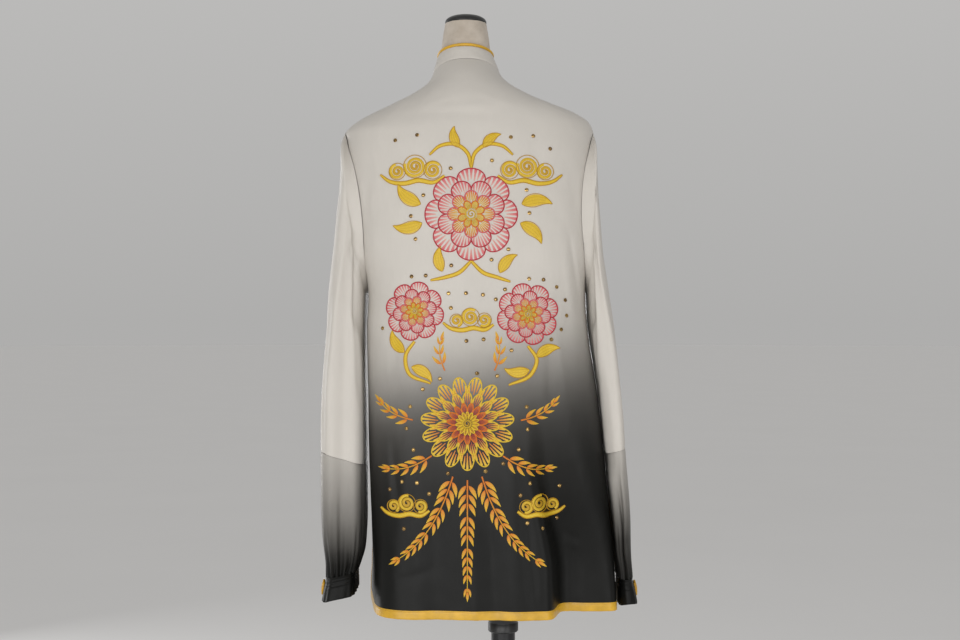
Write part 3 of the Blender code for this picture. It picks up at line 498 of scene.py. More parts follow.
def edge_angle(z, left, behind):
    """Where a back or front panel ends: slit, side seam, armhole or shoulder seam."""
    if UNDERARM_Z < z < SHOULDER_Z:
        middle = (UNDERARM_Z + SHOULDER_Z) / 2
        share = (middle - z) / (SHOULDER_Z - UNDERARM_Z) * 2
        depth = ARMHOLE_HALF_DEPTH * math.sqrt(max(1 - share * share, 0))
        return angle_at(z, depth, left, behind)
    row = tracks(BODY, BODY_COLUMNS, z)
    radius = (row["left"] - row["right"]) / 2
    below = SLIT_TOP_Z - z
    room = EDGE_ROOM + SLIT_SPREAD * below / (SLIT_TOP_Z - HEM_Z)
    gap = SEAM_GAP + max(room, 0) * ease(below / SLIT_END)
    return seam_angle(z, left) + gap / radius * (1 if behind == left else -1)


def grid_normals(points, closed=False):
    """Unit normals of a grid of points, a row for each level."""
    if closed:
        along = np.roll(points, -1, axis=1) - np.roll(points, 1, axis=1)
    else:
        along = np.gradient(points, axis=1)
    normals = unit(np.cross(along, np.gradient(points, axis=0)))
    outward = points - points.mean(axis=1, keepdims=True)
    outward[..., 2] = 0
    return normals if (normals * outward).sum() > 0 else -normals


def crumple(points, swells, seed):
    """Small uneven swells of cloth, longer along the hang than across it."""
    lift = 0.0
    for w in named(CRUMPLE_COLUMNS, swells):
        across, behind, up = w["stretch"]
        start = seed + w["seed"]
        values = [
            noise.noise(Vector((p[0] * across + start, p[1] * behind, p[2] * up)))
            for p in points.reshape(-1, 3)
        ]
        lift = lift + w["height"] * np.array(values).reshape(points.shape[:-1])
    return lift


def add_object(name, data):
    made = bpy.data.objects.new(name, data)
    bpy.context.scene.collection.objects.link(made)
    return made


def stand_for(made, node):
    """Hides the solid, so that the piece takes its place."""
    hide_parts(node)


def add_mesh(name, points, faces, material, sharp=None):
    """One mesh object facing outward: smooth, or creased past the sharp angle, or flat for 0."""
    points = np.asarray(points, float)
    mesh = bpy.data.meshes.new(name)
    mesh.from_pydata(points, [], faces)
    mesh.validate()
    corners = np.array([(f[0], f[i], f[i + 1]) for f in faces for i in range(1, len(f) - 1)])
    a, b, c = (points[corners[:, i]] for i in range(3))
    if np.einsum("ij,ij->i", a, np.cross(b, c)).sum() < 0:
        mesh.flip_normals()
    if sharp != 0:
        mesh.shade_smooth()
    if sharp:
        mesh.set_sharp_from_angle(angle=math.radians(sharp))
    mesh.materials.append(material)
    made = add_object(name, mesh)
    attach(made, "root")
    return made


def grid_faces(rows, cols, closed):
    """Index quads of a grid, as an array."""
    r, c = np.meshgrid(np.arange(rows - 1), np.arange(cols if closed else cols - 1), indexing="ij")
    d = (c + 1) % cols
    quads = [r * cols + c, r * cols + d, (r + 1) * cols + d, (r + 1) * cols + c]
    return np.stack(quads, axis=-1).reshape(-1, 4)


def shell(name, outer, inner, material, closed=False):
    """A thin wall of cloth between two grids, closed along its rims."""
    rows, cols = outer.shape[:2]
    half = rows * cols
    points = np.concatenate([outer.reshape(-1, 3), inner.reshape(-1, 3)])
    skin = grid_faces(rows, cols, closed)
    index = np.arange(half).reshape(rows, cols)
    if closed:
        rims = [(np.roll(index[0], -1), index[0]), (index[-1], np.roll(index[-1], -1))]
    else:
        rim = np.concatenate([index[0], index[1:, -1], index[-1, -2::-1], index[-2:0:-1, 0]])
        rims = [(np.roll(rim, -1), rim)]
    walls = [np.stack([b, a, a + half, b + half], axis=1) for b, a in rims]
    faces = np.concatenate([skin, skin[:, ::-1] + half] + walls)
    return add_mesh(name, points, faces.tolist(), material, 60)


def loft(name, rings, material, sharp=None):
    """A solid through rings of points, closed flat at both ends."""
    rows, cols = rings.shape[:2]
    faces = grid_faces(rows, cols, True).tolist()
    faces.append(list(range(cols))[::-1])
    faces.append(list(range((rows - 1) * cols, rows * cols)))
    return add_mesh(name, rings.reshape(-1, 3), faces, material, sharp)


def add_parts(name, parts, material, sharp=None):
    """Several small meshes of quads as one object."""
    points = np.concatenate([part[0] for part in parts])
    starts = np.cumsum([0] + [len(part[0]) for part in parts[:-1]])
    faces = np.concatenate([part[1] + start for part, start in zip(parts, starts)])
    return add_mesh(name, points, faces.tolist(), material, sharp)


def tube_part(line, radius, sides, outward=(0.0, 0.0, 1.0)):
    """A round cord along a line as points and quads, its ends drawn in to a blunt tip.
    The radius may be one number or one for each point."""
    along = unit(np.gradient(line, axis=0))
    a = unit(np.cross(along, outward))
    b = np.cross(along, a)
    turns = np.linspace(0, 2 * math.pi, sides, endpoint=False)
    radius = np.broadcast_to(radius, len(line))[:, None, None]
    ring = np.cos(turns)[None, :, None] * a[:, None] + np.sin(turns)[None, :, None] * b[:, None]
    rings = line[:, None] + radius * ring
    first, last = (line[k] + (rings[k] - line[k]) * BLUNT_TIP for k in (0, -1))
    rings = np.concatenate([first[None], rings, last[None]])
    return rings.reshape(-1, 3), grid_faces(len(rings), sides, True)


# Materials


def add_node(tree, kind, inputs=None, **settings):
    """A shader node with its settings, its inputs given as values or as links from sockets."""
    made = tree.nodes.new("ShaderNode" + kind)
    for name, value in settings.items():
        setattr(made, name, value)
    for name, source in (inputs or {}).items():
        if isinstance(source, bpy.types.NodeSocket):
            tree.links.new(source, made.inputs[name])
        else:
            made.inputs[name].default_value = source
    return made


def surface(name, **values):
    """A material with its shader's own values set, its nodes and its object coordinates."""
    made = bpy.data.materials.new(name)
    made.use_nodes = True
    tree = made.node_tree
    for key, value in values.items():
        tree.nodes["Principled BSDF"].inputs[key.replace("_", " ")].default_value = value
    return made, tree, tree.nodes.new("ShaderNodeTexCoord").outputs["Object"]


def stretched(tree, place, scale):
    return add_node(tree, "Mapping", {"Vector": place, "Scale": scale}).outputs["Vector"]


def noise_of(tree, vector, scale, detail=3.0):
    inputs = {"Vector": vector, "Scale": scale, "Detail": detail, "Roughness": 0.55}
    return add_node(tree, "TexNoise", inputs).outputs["Fac"]


def ranged(tree, value, low, high):
    inputs = {"Value": value, "To Min": low, "To Max": high}
    return add_node(tree, "MapRange", inputs).outputs["Result"]


def math_of(tree, operation, *values):
    return add_node(tree, "Math", dict(enumerate(values)), operation=operation).outputs[0]


def scaled(tree, color, by):
    return add_node(tree, "VectorMath", {0: color, "Scale": by}, operation="SCALE").outputs["Vector"]


def ramp_of(tree, value, stops):
    """A colour ramp through (place, colour) stops."""
    made = add_node(tree, "ValToRGB", {"Fac": value})
    elements = made.color_ramp.elements
    elements[0].position, elements[0].color = stops[0][0], (*stops[0][1], 1)
    elements[1].position, elements[1].color = stops[-1][0], (*stops[-1][1], 1)
    for place, color in stops[1:-1]:
        elements.new(place).color = (*color, 1)
    return made.outputs["Color"]


def finish(made, color, gloss=None, relief=None):
    """Links a colour, a roughness by (value, low, high) and a bump by (height, strength, distance)."""
    tree = made.node_tree
    shader = tree.nodes["Principled BSDF"]
    tree.links.new(color, shader.inputs["Base Color"])
    if gloss:
        tree.links.new(ranged(tree, *gloss), shader.inputs["Roughness"])
    if relief:
        inputs = dict(zip(("Height", "Strength", "Distance"), relief))
        tree.links.new(add_node(tree, "Bump", inputs).outputs["Normal"], shader.inputs["Normal"])
    return made


WHITE = (0.545, 0.514, 0.470)
CHARCOAL = (0.0062, 0.0062, 0.0055)
# Height and how white the cloth is there, on the body and on the sleeves
OMBRE_LOW = 0.60
OMBRE_SPAN = 0.60
BODY_OMBRE = (
    (0.780, 0.000), (0.850, 0.010), (0.880, 0.026), (0.909, 0.058), (0.926, 0.092),
    (0.943, 0.145), (0.960, 0.220), (0.977, 0.320), (0.994, 0.440), (1.011, 0.570),
    (1.028, 0.710), (1.045, 0.820), (1.062, 0.900), (1.090, 0.970), (1.140, 1.000),
)
LEFT_OMBRE = (
    (0.690, 0.000), (0.706, 0.010), (0.722, 0.045), (0.747, 0.170), (0.782, 0.340),
    (0.817, 0.520), (0.850, 0.670), (0.871, 0.720),
)
RIGHT_OMBRE = (
    (0.690, 0.020), (0.712, 0.045), (0.740, 0.060), (0.768, 0.200), (0.796, 0.400),
    (0.824, 0.560), (0.852, 0.660), (0.871, 0.720),
)
PLAIN_OMBRE = ((0.600, 1.0), (1.200, 1.0))


def satin(name, ombre, tilt=0.0, tilt_middle=0.0):
    """White satin that fades to charcoal down the garment, along a line that may be tilted."""
    made, tree, place = surface(name, Roughness=0.40, Specular_IOR_Level=0.16)
    parts = add_node(tree, "SeparateXYZ", {"Vector": place}).outputs
    lean = math_of(tree, "MULTIPLY_ADD", parts["X"], tilt, -tilt * tilt_middle)
    height = math_of(tree, "ADD", parts["Z"], lean)
    cloud = ranged(tree, noise_of(tree, place, 7.0), -0.016, 0.016)
    height = math_of(tree, "ADD", height, cloud)
    inputs = {"Value": height, "From Min": OMBRE_LOW, "From Max": OMBRE_LOW + OMBRE_SPAN}
    share = add_node(tree, "MapRange", inputs).outputs["Result"]
    stops = []
    for z, white in ombre:
        color = tuple(c + (w - c) * white for w, c in zip(WHITE, CHARCOAL))
        stops.append(((z - OMBRE_LOW) / OMBRE_SPAN, color))
    color = ramp_of(tree, share, stops)
    thread = noise_of(tree, stretched(tree, place, (900, 900, 45)), 1.0)
    patch = ranged(tree, noise_of(tree, place, 16.0), 0.94, 1.05)
    streak = ranged(tree, thread, 0.975, 1.025)
    tinted = scaled(tree, color, math_of(tree, "MULTIPLY", patch, streak))
    weave = noise_of(tree, stretched(tree, place, (1500, 1500, 500)), 1.0, 1.0)
    return finish(made, tinted, (thread, 0.34, 0.47), (weave, 0.16, 0.0003))


def plain_satin(name, color, roughness, specular, variation):
    """One-colour satin with fine threads."""
    made, tree, place = surface(name, Roughness=roughness, Specular_IOR_Level=specular)
    patch = noise_of(tree, place, 60.0)
    thread = noise_of(tree, stretched(tree, place, (1100, 1100, 260)), 1.0)
    dark = tuple(c * (1 - variation) for c in color)
    light = tuple(min(c * (1 + variation), 1.0) for c in color)
    tone = ramp_of(tree, patch, ((0.30, dark), (0.70, light)))
    return finish(made, tone, (thread, roughness - 0.06, roughness + 0.08), (thread, 0.22, 0.0003))


def thread_material(name):
    """Embroidery floss: each stroke's own colour, with fine strands across it."""
    made, tree, _ = surface(
        name, Roughness=0.38, Specular_IOR_Level=0.35, Sheen_Weight=0.02, Sheen_Roughness=0.35,
    )
    color = add_node(tree, "Attribute", attribute_name="floss").outputs["Color"]
    along = add_node(tree, "UVMap", uv_map="strand").outputs["UV"]
    strands = noise_of(tree, stretched(tree, along, (2600, 260, 1)), 1.0, 2.0)
    tinted = scaled(tree, color, ranged(tree, strands, 0.72, 1.22))
    return finish(made, tinted, (strands, 0.30, 0.48), (strands, 0.6, 0.0004))


def crystal_material(name):
    """Foil-backed amber glass stones."""
    made, tree, place = surface(
        name, Metallic=0.85, Roughness=0.06, Coat_Weight=0.6, Coat_Roughness=0.03,
    )
    stops = ((0.38, (0.20, 0.11, 0.025)), (0.62, (0.46, 0.29, 0.08)))
    return finish(made, ramp_of(tree, noise_of(tree, place, 55.0), stops))


def jersey_material(name):
    """Matt stretch jersey over the form, in fine rows of stitches."""
    made, tree, place = surface(
        name, Roughness=0.86, Specular_IOR_Level=0.2, Sheen_Weight=0.08, Sheen_Roughness=0.6,
    )
    mottle = noise_of(tree, place, 34.0, 5.0)
    tone = ramp_of(tree, mottle, ((0.30, (0.40, 0.345, 0.285)), (0.70, (0.56, 0.50, 0.43))))
    inputs = {"Vector": place, "Scale": 210.0, "Distortion": 1.2, "Detail": 2.0, "Detail Scale": 3.0}
    rows = add_node(tree, "TexWave", inputs, wave_type="BANDS", bands_direction="Z").outputs["Fac"]
    return finish(made, tone, (mottle, 0.80, 0.92), (rows, 0.35, 0.0004))


def hard_material(name, color, roughness, metallic, scale):
    """Moulded plastic or painted steel with faint mottle and wear in its gloss."""
    made, tree, place = surface(name, Roughness=roughness, Metallic=metallic, Specular_IOR_Level=0.5)
    grain = noise_of(tree, place, scale, 4.0)
    dark = tuple(c * 0.8 for c in color)
    light = tuple(c * 1.35 for c in color)
    tone = ramp_of(tree, grain, ((0.3, dark), (0.7, light)))
    fine = noise_of(tree, place, scale * 30, 2.0)
    return finish(made, tone, (grain, roughness - 0.07, roughness + 0.10), (fine, 0.12, 0.0003))


MATERIAL = {
    "body": satin("satin_body", BODY_OMBRE, 0.185, -0.075),
    "sleeve": satin("satin_sleeve", PLAIN_OMBRE),
    "sleeve_end_left": satin("satin_sleeve_end_left", LEFT_OMBRE, -0.114, 0.225),
    "sleeve_end_right": satin("satin_sleeve_end_right", RIGHT_OMBRE),
    "charcoal": plain_satin("satin_black", (0.0060, 0.0060, 0.0054), 0.44, 0.14, 0.25),
    "gold": plain_satin("satin_gold", (0.58, 0.33, 0.022), 0.32, 0.45, 0.16),
    "gold_cord": plain_satin("satin_gold_cord", (0.54, 0.29, 0.016), 0.36, 0.40, 0.20),
    "floss": thread_material("embroidery_floss"),
    "crystal": crystal_material("amber_crystal"),
    "jersey": jersey_material("form_jersey"),
    "plastic": hard_material("black_plastic", (0.012, 0.012, 0.012), 0.38, 0.0, 40.0),
    "steel": hard_material("black_steel", (0.015, 0.015, 0.016), 0.34, 0.4, 22.0),
}


# Jacket body


def row_angles(z, start, end, count):
    """Angles from one panel edge to the other, even along the cloth, with cells for the binding."""
    dense = np.linspace(start, end, DENSE_STEPS)
    runs = run_along(body_surface(z, dense))
    length = runs[-1]
    edge = np.linspace(0, BINDING_WIDTH, EDGE_CELLS + 1)
    inner = np.linspace(BINDING_WIDTH, length - BINDING_WIDTH, count - 2 * EDGE_CELLS)[1:-1]
    return np.interp(np.concatenate([edge, inner, length - edge[::-1]]), runs, dense)


def body_levels():
    hem = np.linspace(HEM_Z, HEM_Z + BINDING_WIDTH, EDGE_CELLS + 1)
    low = np.linspace(HEM_Z + BINDING_WIDTH, UNDERARM_Z, LOW_ROWS)[1:-1]
    armhole = armhole_at(np.linspace(0, math.pi, ARMHOLE_ROWS + 1))[0]
    high = np.linspace(SHOULDER_Z, NECKLINE_Z, HIGH_ROWS)[1:]
    return np.concatenate([hem, low, armhole, high])


def seam_dip(grid, levels, seams):
    """How far the cloth dips where it is sewn: 1 for a side with a seam, 0 for a free edge."""
    runs = run_along(grid)
    dip = seams[0] * bump(runs / SEAM_DIP_WIDTH)
    dip += seams[1] * bump((runs[:, -1:] - runs) / SEAM_DIP_WIDTH)
    return -SEAM_DIP * dip * (levels[:, None] > SLIT_TOP_Z)


def panel(levels, edges, count, seams, seed):
    """Outer points, inner points and normals of a body panel."""
    angles = np.array([row_angles(z, *edges(z), count) for z in levels])
    base = body_surface(levels[:, None], angles)
    above_hem = ease((levels[:, None] - HEM_Z) / HEM_CALM)
    below_neck = ease((NECKLINE_Z - levels[:, None]) / NECK_CALM)
    lift = crumple(base, BODY_CRUMPLE, seed) * above_hem * below_neck + seam_dip(base, levels, seams)
    outer = base + grid_normals(base) * lift[..., None]
    normals = grid_normals(outer)
    return outer, outer - normals * CLOTH, normals


def centre_edge(z, side):
    """The angle of a front edge, beside the straight centre line."""
    middle = -math.pi / 2 + track(CENTRE_LINE, CENTRE_COLUMNS, "turn", z)
    near = body_surface(z, middle + np.array([-CENTRE_PROBE, CENTRE_PROBE]))[:, 0]
    return middle + side * 2 * CENTRE_PROBE / abs(near[1] - near[0]) * CENTRE_GAP


def back_edges(z):
    return edge_angle(z, True, True), edge_angle(z, False, True)


def left_edges(z):
    return centre_edge(z, 1), edge_angle(z, True, False)


def right_edges(z):
    angle = edge_angle(z, False, False)
    return angle - 2 * math.pi if angle > 0 else angle, centre_edge(z, -1)


def build_body():
    levels = body_levels()
    panels = {
        "jacket_back": panel(levels, back_edges, BACK_COLUMNS, (1, 1), 2.0),
        "jacket_front_left": panel(levels, left_edges, FRONT_COLUMNS, (0, 1), 14.0),
        "jacket_front_right": panel(levels, right_edges, FRONT_COLUMNS, (1, 0), 27.0),
    }
    for node, (outer, inner, _) in panels.items():
        stand_for(shell("cloth_" + node, outer, inner, MATERIAL["body"]), node)
    return levels, panels


# Bindings

# The folded strip's height over the cloth, as shares of its thickness, from the edge inward
PROFILE_HEIGHTS = (1.0, 1.02, 1.0, 1.0, 0.98, 0.80, 0.12)
BINDING_CLEAR = 0.00008
SWELL_COLUMNS = ("height", "length", "phase")
BINDING_SWELLS = (
    (0.10, 0.0034, 0.0),
    (0.06, 0.0019, 1.0),
)
# Its rounded rim: how far it stands out over the cloth and off the edge
RIM_OUT = 0.8
RIM_OFF = 0.6
RIM_MIDDLE = 1.15
STITCH_PITCH = 0.0032
STITCH_LENGTH = 0.0023
STITCH_RADIUS = 0.00022
STITCH_COLUMNS = ("share", "lift")
STITCH_ARCH = ((0.0, -0.6), (0.25, 0.5), (0.5, 0.7), (0.75, 0.5), (1.0, -0.6))
STITCH_CELL = 5
STITCH_HEIGHT = 0.86
SLIT_STOP = 0.004


def binding_rings(stations):
    """Closed sections of a strip folded over an edge. A station holds outer points and normals
    from the edge inward, the same for the inner side, and the direction off the edge."""
    rings = []
    runs = run_along(np.array([station[0][0] for station in stations]))
    for run, (outer, normals, inner, off) in zip(runs, stations):
        swell = 1 + sum(
            w["height"] * math.sin(run / w["length"] + w["phase"])
            for w in named(SWELL_COLUMNS, BINDING_SWELLS)
        )
        rise = BINDING_THICK * swell * np.array(PROFILE_HEIGHTS)[:, None] + BINDING_CLEAR
        reach = BINDING_THICK * swell + BINDING_CLEAR
        up = normals[0] * reach * RIM_OUT
        aside = off * reach * RIM_OFF
        rim = [
            outer[0] + up + aside,
            (outer[0] + inner[0]) / 2 + off * reach * RIM_MIDDLE,
            inner[0] - up + aside,
        ]
        close = normals * BINDING_CLEAR
        lining = [
            inner[-1] - close[-1],
            inner[0] - close[0] + off * BINDING_CLEAR,
            outer[0] + close[0] + off * BINDING_CLEAR,
            outer[-1] + close[-1],
        ]
        over = (outer + normals * rise)[::-1]
        rings.append(np.concatenate([over, rim, inner - normals * rise, lining]))
    return np.array(rings)


def edge_station(grid, row, col, step_row, step_col):
    """Outer points, normals and inner points from a panel's edge inward, and the way off it."""
    outer, inner, normals = grid
    steps = np.arange(EDGE_CELLS + 1)
    cells = (row + step_row * steps, col + step_col * steps)
    off = outer[cells][0] - outer[cells][1]
    return outer[cells], normals[cells], inner[cells], unit(off)


def binding_path(grid, start_rise, end_rise):
    """Stations down one side of a panel, along its hem and up the other side."""
    last = grid[0].shape[1] - 1
    k = EDGE_CELLS
    path = [edge_station(grid, r, 0, 0, 1) for r in range(start_rise, k - 1, -1)]
    path.append(edge_station(grid, 0, 0, 1, 1))
    path += [edge_station(grid, 0, c, 1, 0) for c in range(k, last - k + 1)]
    path.append(edge_station(grid, 0, last, 1, -1))
    path += [edge_station(grid, r, last, 0, -1) for r in range(k, end_rise + 1)]
    return path


def read_line(line, runs, marks):
    return np.stack([np.interp(marks, runs, line[:, k]) for k in range(3)], axis=1)


def stitches(line, normals):
    """Small sewn stitches along a line on the cloth."""
    runs = run_along(line)
    arch = {name: column(STITCH_ARCH, STITCH_COLUMNS, name) for name in STITCH_COLUMNS}
    parts = []
    for start in np.arange(0, runs[-1] - STITCH_LENGTH, STITCH_PITCH):
        marks = start + STITCH_LENGTH * arch["share"]
        out = read_line(normals, runs, marks)
        middle = read_line(line, runs, marks) + out * (STITCH_RADIUS * arch["lift"])[:, None]
        parts.append(tube_part(middle, STITCH_RADIUS, 5, out))
    return parts


def build_bindings(levels, panels):
    slit = int(np.searchsorted(levels, SLIT_TOP_Z - SLIT_STOP)) - 1
    top = len(levels) - 1
    rises = (
        ("jacket_back", "binding_back", slit, slit),
        ("jacket_front_left", "binding_front_left", top, slit),
        ("jacket_front_right", "binding_front_right", slit, top),
    )
    for node, name, start, end in rises:
        path = binding_path(panels[node], start, end)
        made = loft("satin_" + name, binding_rings(path), MATERIAL["gold"], 50)
        stand_for(made, name)
        out = np.array([normals[STITCH_CELL] for _, normals, _, _ in path])
        line = np.array([outer[STITCH_CELL] for outer, _, _, _ in path])
        line = line + out * BINDING_THICK * STITCH_HEIGHT
        sewn = add_parts("stitching_" + name, stitches(line, out), MATERIAL["gold_cord"])


# Sleeves and cuffs

OVAL_STEPS = 24
MIRROR_SWING = 9
END_LENGTH = 0.17
SKEW_EASE = 4
# Sums of sine waves round a ring: size, waves in a turn and how many times the phase is added
WAVE_COLUMNS = ("size", "turns", "phases")
GATHER_COUNT = 26
GATHER_DEPTH = 0.0052
GATHER_WANDER = ((1.1, 3, 1), (0.7, 7, 2))
GATHER_BEGIN = 0.34
GATHER_BEGIN_WAVES = ((0.16, 5, 1), (0.10, 11, 0))
GATHER_SIZE = 0.75
GATHER_SIZE_WAVES = ((0.25, 4, 3),)
CUFF_SET_IN = 0.0011
CUFF_WAVES = 17
CUFF_WANDER = ((1.2, 4, 1),)
CUFF_WAVE_TOP = 0.0002
CUFF_WAVE_GROWTH = 0.0005
CUFF_STITCH_WIDTH = 0.045
CUFF_STITCH_DEPTH = 0.0006
CUFF_EDGE_WAVES = ((0.0018, 2, 1), (0.0008, 5, 0))
CUFF_KNOT_TURNS = 3.1
CUFF_KNOT_START = 0.9
CUFF_KNOT_POINTS = 150
CUFF_KNOT_ACROSS = 0.0085
CUFF_KNOT_RISE = 0.0120
CUFF_KNOT_LIFT = 0.0021
CUFF_KNOT_DOME = 0.0016
CUFF_KNOT_CORD = 0.00155


def waves(table, turn, phase):
    rows = named(WAVE_COLUMNS, table)
    return sum(w["size"] * np.sin(w["turns"] * turn + w["phases"] * phase) for w in rows)


def smooth_rows(rings, count):
    """More rings between those given, on smooth curves."""
    gaps = np.linalg.norm(np.diff(rings, axis=0), axis=2).mean(axis=1)
    at = np.concatenate([[0], np.cumsum(gaps)])
    return curve(at, rings, np.linspace(0, at[-1], count))


def even_oval(count, depth, power):
    """Points round a unit oval, evenly spaced once it is this many times as deep as wide."""
    turn = np.linspace(0, 2 * math.pi, OVAL_STEPS * count + 1)
    across, behind = oval(turn, 1.0, 1.0, power)
    run = run_along(np.stack([across, depth * behind], axis=1))
    return oval(np.interp(round_steps(count, run[-1]), run, turn), 1.0, 1.0, power)


def sleeve_ring(s, count):
    inner = np.array([s["in_x"], s["mid_y"], s["in_z"]])
    outer = np.array([s["out_x"], s["mid_y"], s["out_z"]])
    half = (outer - inner) / 2
    half_width = np.linalg.norm(half)
    degrees = round_steps(count, 360)
    flutes = named(SLEEVE_FLUTE_COLUMNS, SLEEVE_FLUTES)
    shift = sum(f["depth"] * bump((degrees - f["angle"]) / f["width"]) for f in flutes) * s["flute"]
    across, behind = even_oval(count, s["half_y"] / half_width, SLEEVE_POWER)
    across = -across * (1 + shift / half_width * 0.5)
    ring = (inner + outer) / 2 + half * across[:, None]
    ring[:, 1] += (s["half_y"] + shift) * behind
    return ring


def sleeve_rings(table, count, rows, armhole=()):
    """Rings down a sleeve, from the armhole's own ring where it has one."""
    rings = [*armhole] + [sleeve_ring(row, count) for row in named(SLEEVE_COLUMNS, table)]
    return smooth_rows(np.array(rings), rows)


def armhole_ring(left, count):
    """Points round the armhole from the underarm over the back to the shoulder and down the front."""
    ring = []
    aside = ARMHOLE_SHIFT if left else -ARMHOLE_SHIFT
    for turn in round_steps(count):
        z, depth = armhole_at(turn)
        angle = angle_at(z, max(depth, 1e-6), left, turn < math.pi)
        row = tracks(BODY, BODY_COLUMNS, z)
        x, dy, _ = section(row, angle, row["power"])
        ring.append((x + aside, row["side_y"] + dy, z))
    return np.array(ring)


def sleeve_creases(rows, cols, mirrored):
    """Fine creases down a sleeve, as shifts of its grid."""
    share = down_rows(rows)
    degrees = round_steps(cols, 360)[None, :]
    shift = np.zeros((rows, cols))
    for c in named(CREASE_COLUMNS, SLEEVE_CREASES):
        along = (share - c["from_share"]) / (c["to_share"] - c["from_share"])
        middle = c["start"] + (c["end"] - c["start"]) * along
        if mirrored:
            middle = middle + MIRROR_SWING * math.sin(c["start"])
        reach = ease(4 * along) * ease(4 * (1 - along))
        shift += c["depth"] * reach * bump((degrees - middle) / c["width"])
    return shift


def gathers(rows, cols, phase):
    """Uneven gathers that grow from nothing toward the last rows."""
    turn = round_steps(cols)[None, :]
    fold = 0.5 - 0.5 * np.cos(GATHER_COUNT * turn + waves(GATHER_WANDER, turn, phase))
    begin = GATHER_BEGIN + waves(GATHER_BEGIN_WAVES, turn, phase)
    size = GATHER_SIZE + waves(GATHER_SIZE_WAVES, turn, phase)
    return -GATHER_DEPTH * ease((down_rows(rows) - begin) / (1 - begin)) * size * fold


def tube_cloth(node, rings, shift, seed, material):
    base = rings + grid_normals(rings, True) * shift[..., None]
    ends = down_rows(len(base))
    calm = ease(ends / TUBE_CALM) * ease((1 - ends) / TUBE_CALM)
    lift = crumple(base, TUBE_CRUMPLE, seed) * calm
    outer = base + grid_normals(base, True) * lift[..., None]
    inner = outer - grid_normals(outer, True) * CLOTH
    stand_for(shell("cloth_" + node, outer, inner, MATERIAL[material], closed=True), node)
    return outer


def build_sleeve(side, table, seed):
    left = side == "left"
    rings = sleeve_rings(table, SLEEVE_POINTS, SLEEVE_ROWS, [armhole_ring(left, SLEEVE_POINTS)])
    shift = sleeve_creases(SLEEVE_ROWS, SLEEVE_POINTS, not left)
    length = np.linalg.norm(np.diff(rings, axis=0), axis=2).mean(axis=1).sum()
    shift -= SEAM_DIP * bump((1 - down_rows(SLEEVE_ROWS)) * length / SEAM_DIP_WIDTH)
    tube_cloth("sleeve_" + side, rings, shift, seed, "sleeve")


def build_sleeve_end(side, table, seed):
    """The gathered lower sleeve. The right one has a wedge-shaped fold and leans to the body."""
    rings = sleeve_rings(table, END_POINTS, END_ROWS)
    share = down_rows(END_ROWS)
    shift = gathers(END_ROWS, END_POINTS, seed) - SEAM_DIP * bump(share * END_LENGTH / SEAM_DIP_WIDTH)
    if side == "right":
        behind = np.clip((rings[..., 1] - rings[..., 1].mean()) / rings[..., 1].max(), 0, 1)
        rings[..., 0] += SKEW * behind ** 2 * ease(SKEW_EASE * share) * ease(SKEW_EASE * (1 - share))
        turn = round_steps(END_POINTS, 360)[None, :]
        at = (share - WEDGE_FROM) / (WEDGE_TO - WEDGE_FROM)
        narrow = WEDGE_WIDTH * (WEDGE_TAPER - at)
        shift -= WEDGE_DEPTH * bump(2 * at - 1) * bump((turn - WEDGE_ANGLE) / narrow)
    tube_cloth("sleeve_end_" + side, rings, shift, seed + 3, "sleeve_end_" + side)


def build_cuff(side, table, seed):
    """A stitched band, gently waved, and the gold knot sewn on it."""
    rings = sleeve_rings(table, END_POINTS, CUFF_ROWS)
    turn = round_steps(END_POINTS)[None, :]
    share = down_rows(CUFF_ROWS)
    wave = np.cos(CUFF_WAVES * turn + waves(CUFF_WANDER, turn, seed))
    stitched = sum(bump((share - at) / CUFF_STITCH_WIDTH) for at in CUFF_STITCH_ROWS)
    shift = wave * (CUFF_WAVE_TOP + CUFF_WAVE_GROWTH * share)
    shift -= CUFF_SET_IN + CUFF_STITCH_DEPTH * stitched
    rings[..., 2] += waves(CUFF_EDGE_WAVES, turn, seed) * share ** 2
    cuff = tube_cloth("cuff_" + side, rings, shift, seed + 6, "charcoal")
    build_cuff_knot(side, cuff)


def build_cuff_knot(side, cuff):
    """A gold cord coiled flat on the outer end of a cuff."""
    turn = END_POINTS // 2
    centre = cuff[len(cuff) // 2, turn - 3:turn + 4].mean(axis=0)
    up = unit(cuff[0, turn] - cuff[-1, turn])
    normal = unit(np.cross(up, (0.0, 1.0, 0.0)))
    if (normal[0] > 0) != (side == "left"):
        normal = -normal
    turns = np.linspace(CUFF_KNOT_START, 2 * math.pi * CUFF_KNOT_TURNS, CUFF_KNOT_POINTS)
    share = turns / turns[-1]
    across = CUFF_KNOT_ACROSS * share * np.cos(turns)
    rise = CUFF_KNOT_RISE * share * np.sin(turns)
    half = (cuff.max(axis=(0, 1)) - cuff.min(axis=(0, 1))) / 2
    drop = across ** 2 / (2 * half[1] ** 2 / half[0]) - CUFF_KNOT_DOME * (1 - share ** 2)
    line = centre + up * rise[:, None] + normal * (CUFF_KNOT_LIFT - drop)[:, None]
    line[:, 1] += across
    cord = [tube_part(line, CUFF_KNOT_CORD, 10, normal)]
    made = add_parts("cord_cuff_knot_" + side, cord, MATERIAL["gold_cord"])
    stand_for(made, "cuff_knot_" + side)


# Collar

COLLAR_ROWS = 16
COLLAR_POINTS = 150
# The seam of its foot: a ridge over a groove, as shares of its height
COLLAR_RIDGE = 0.0004
COLLAR_RIDGE_AT = 0.12
COLLAR_RIDGE_WIDTH = 0.10
COLLAR_GROOVE_WIDTH = 0.06
PIPING_CLEAR = 0.0002
PIPING_SWELLS = ((0.03, 210, 0), (0.02, 377, 0))


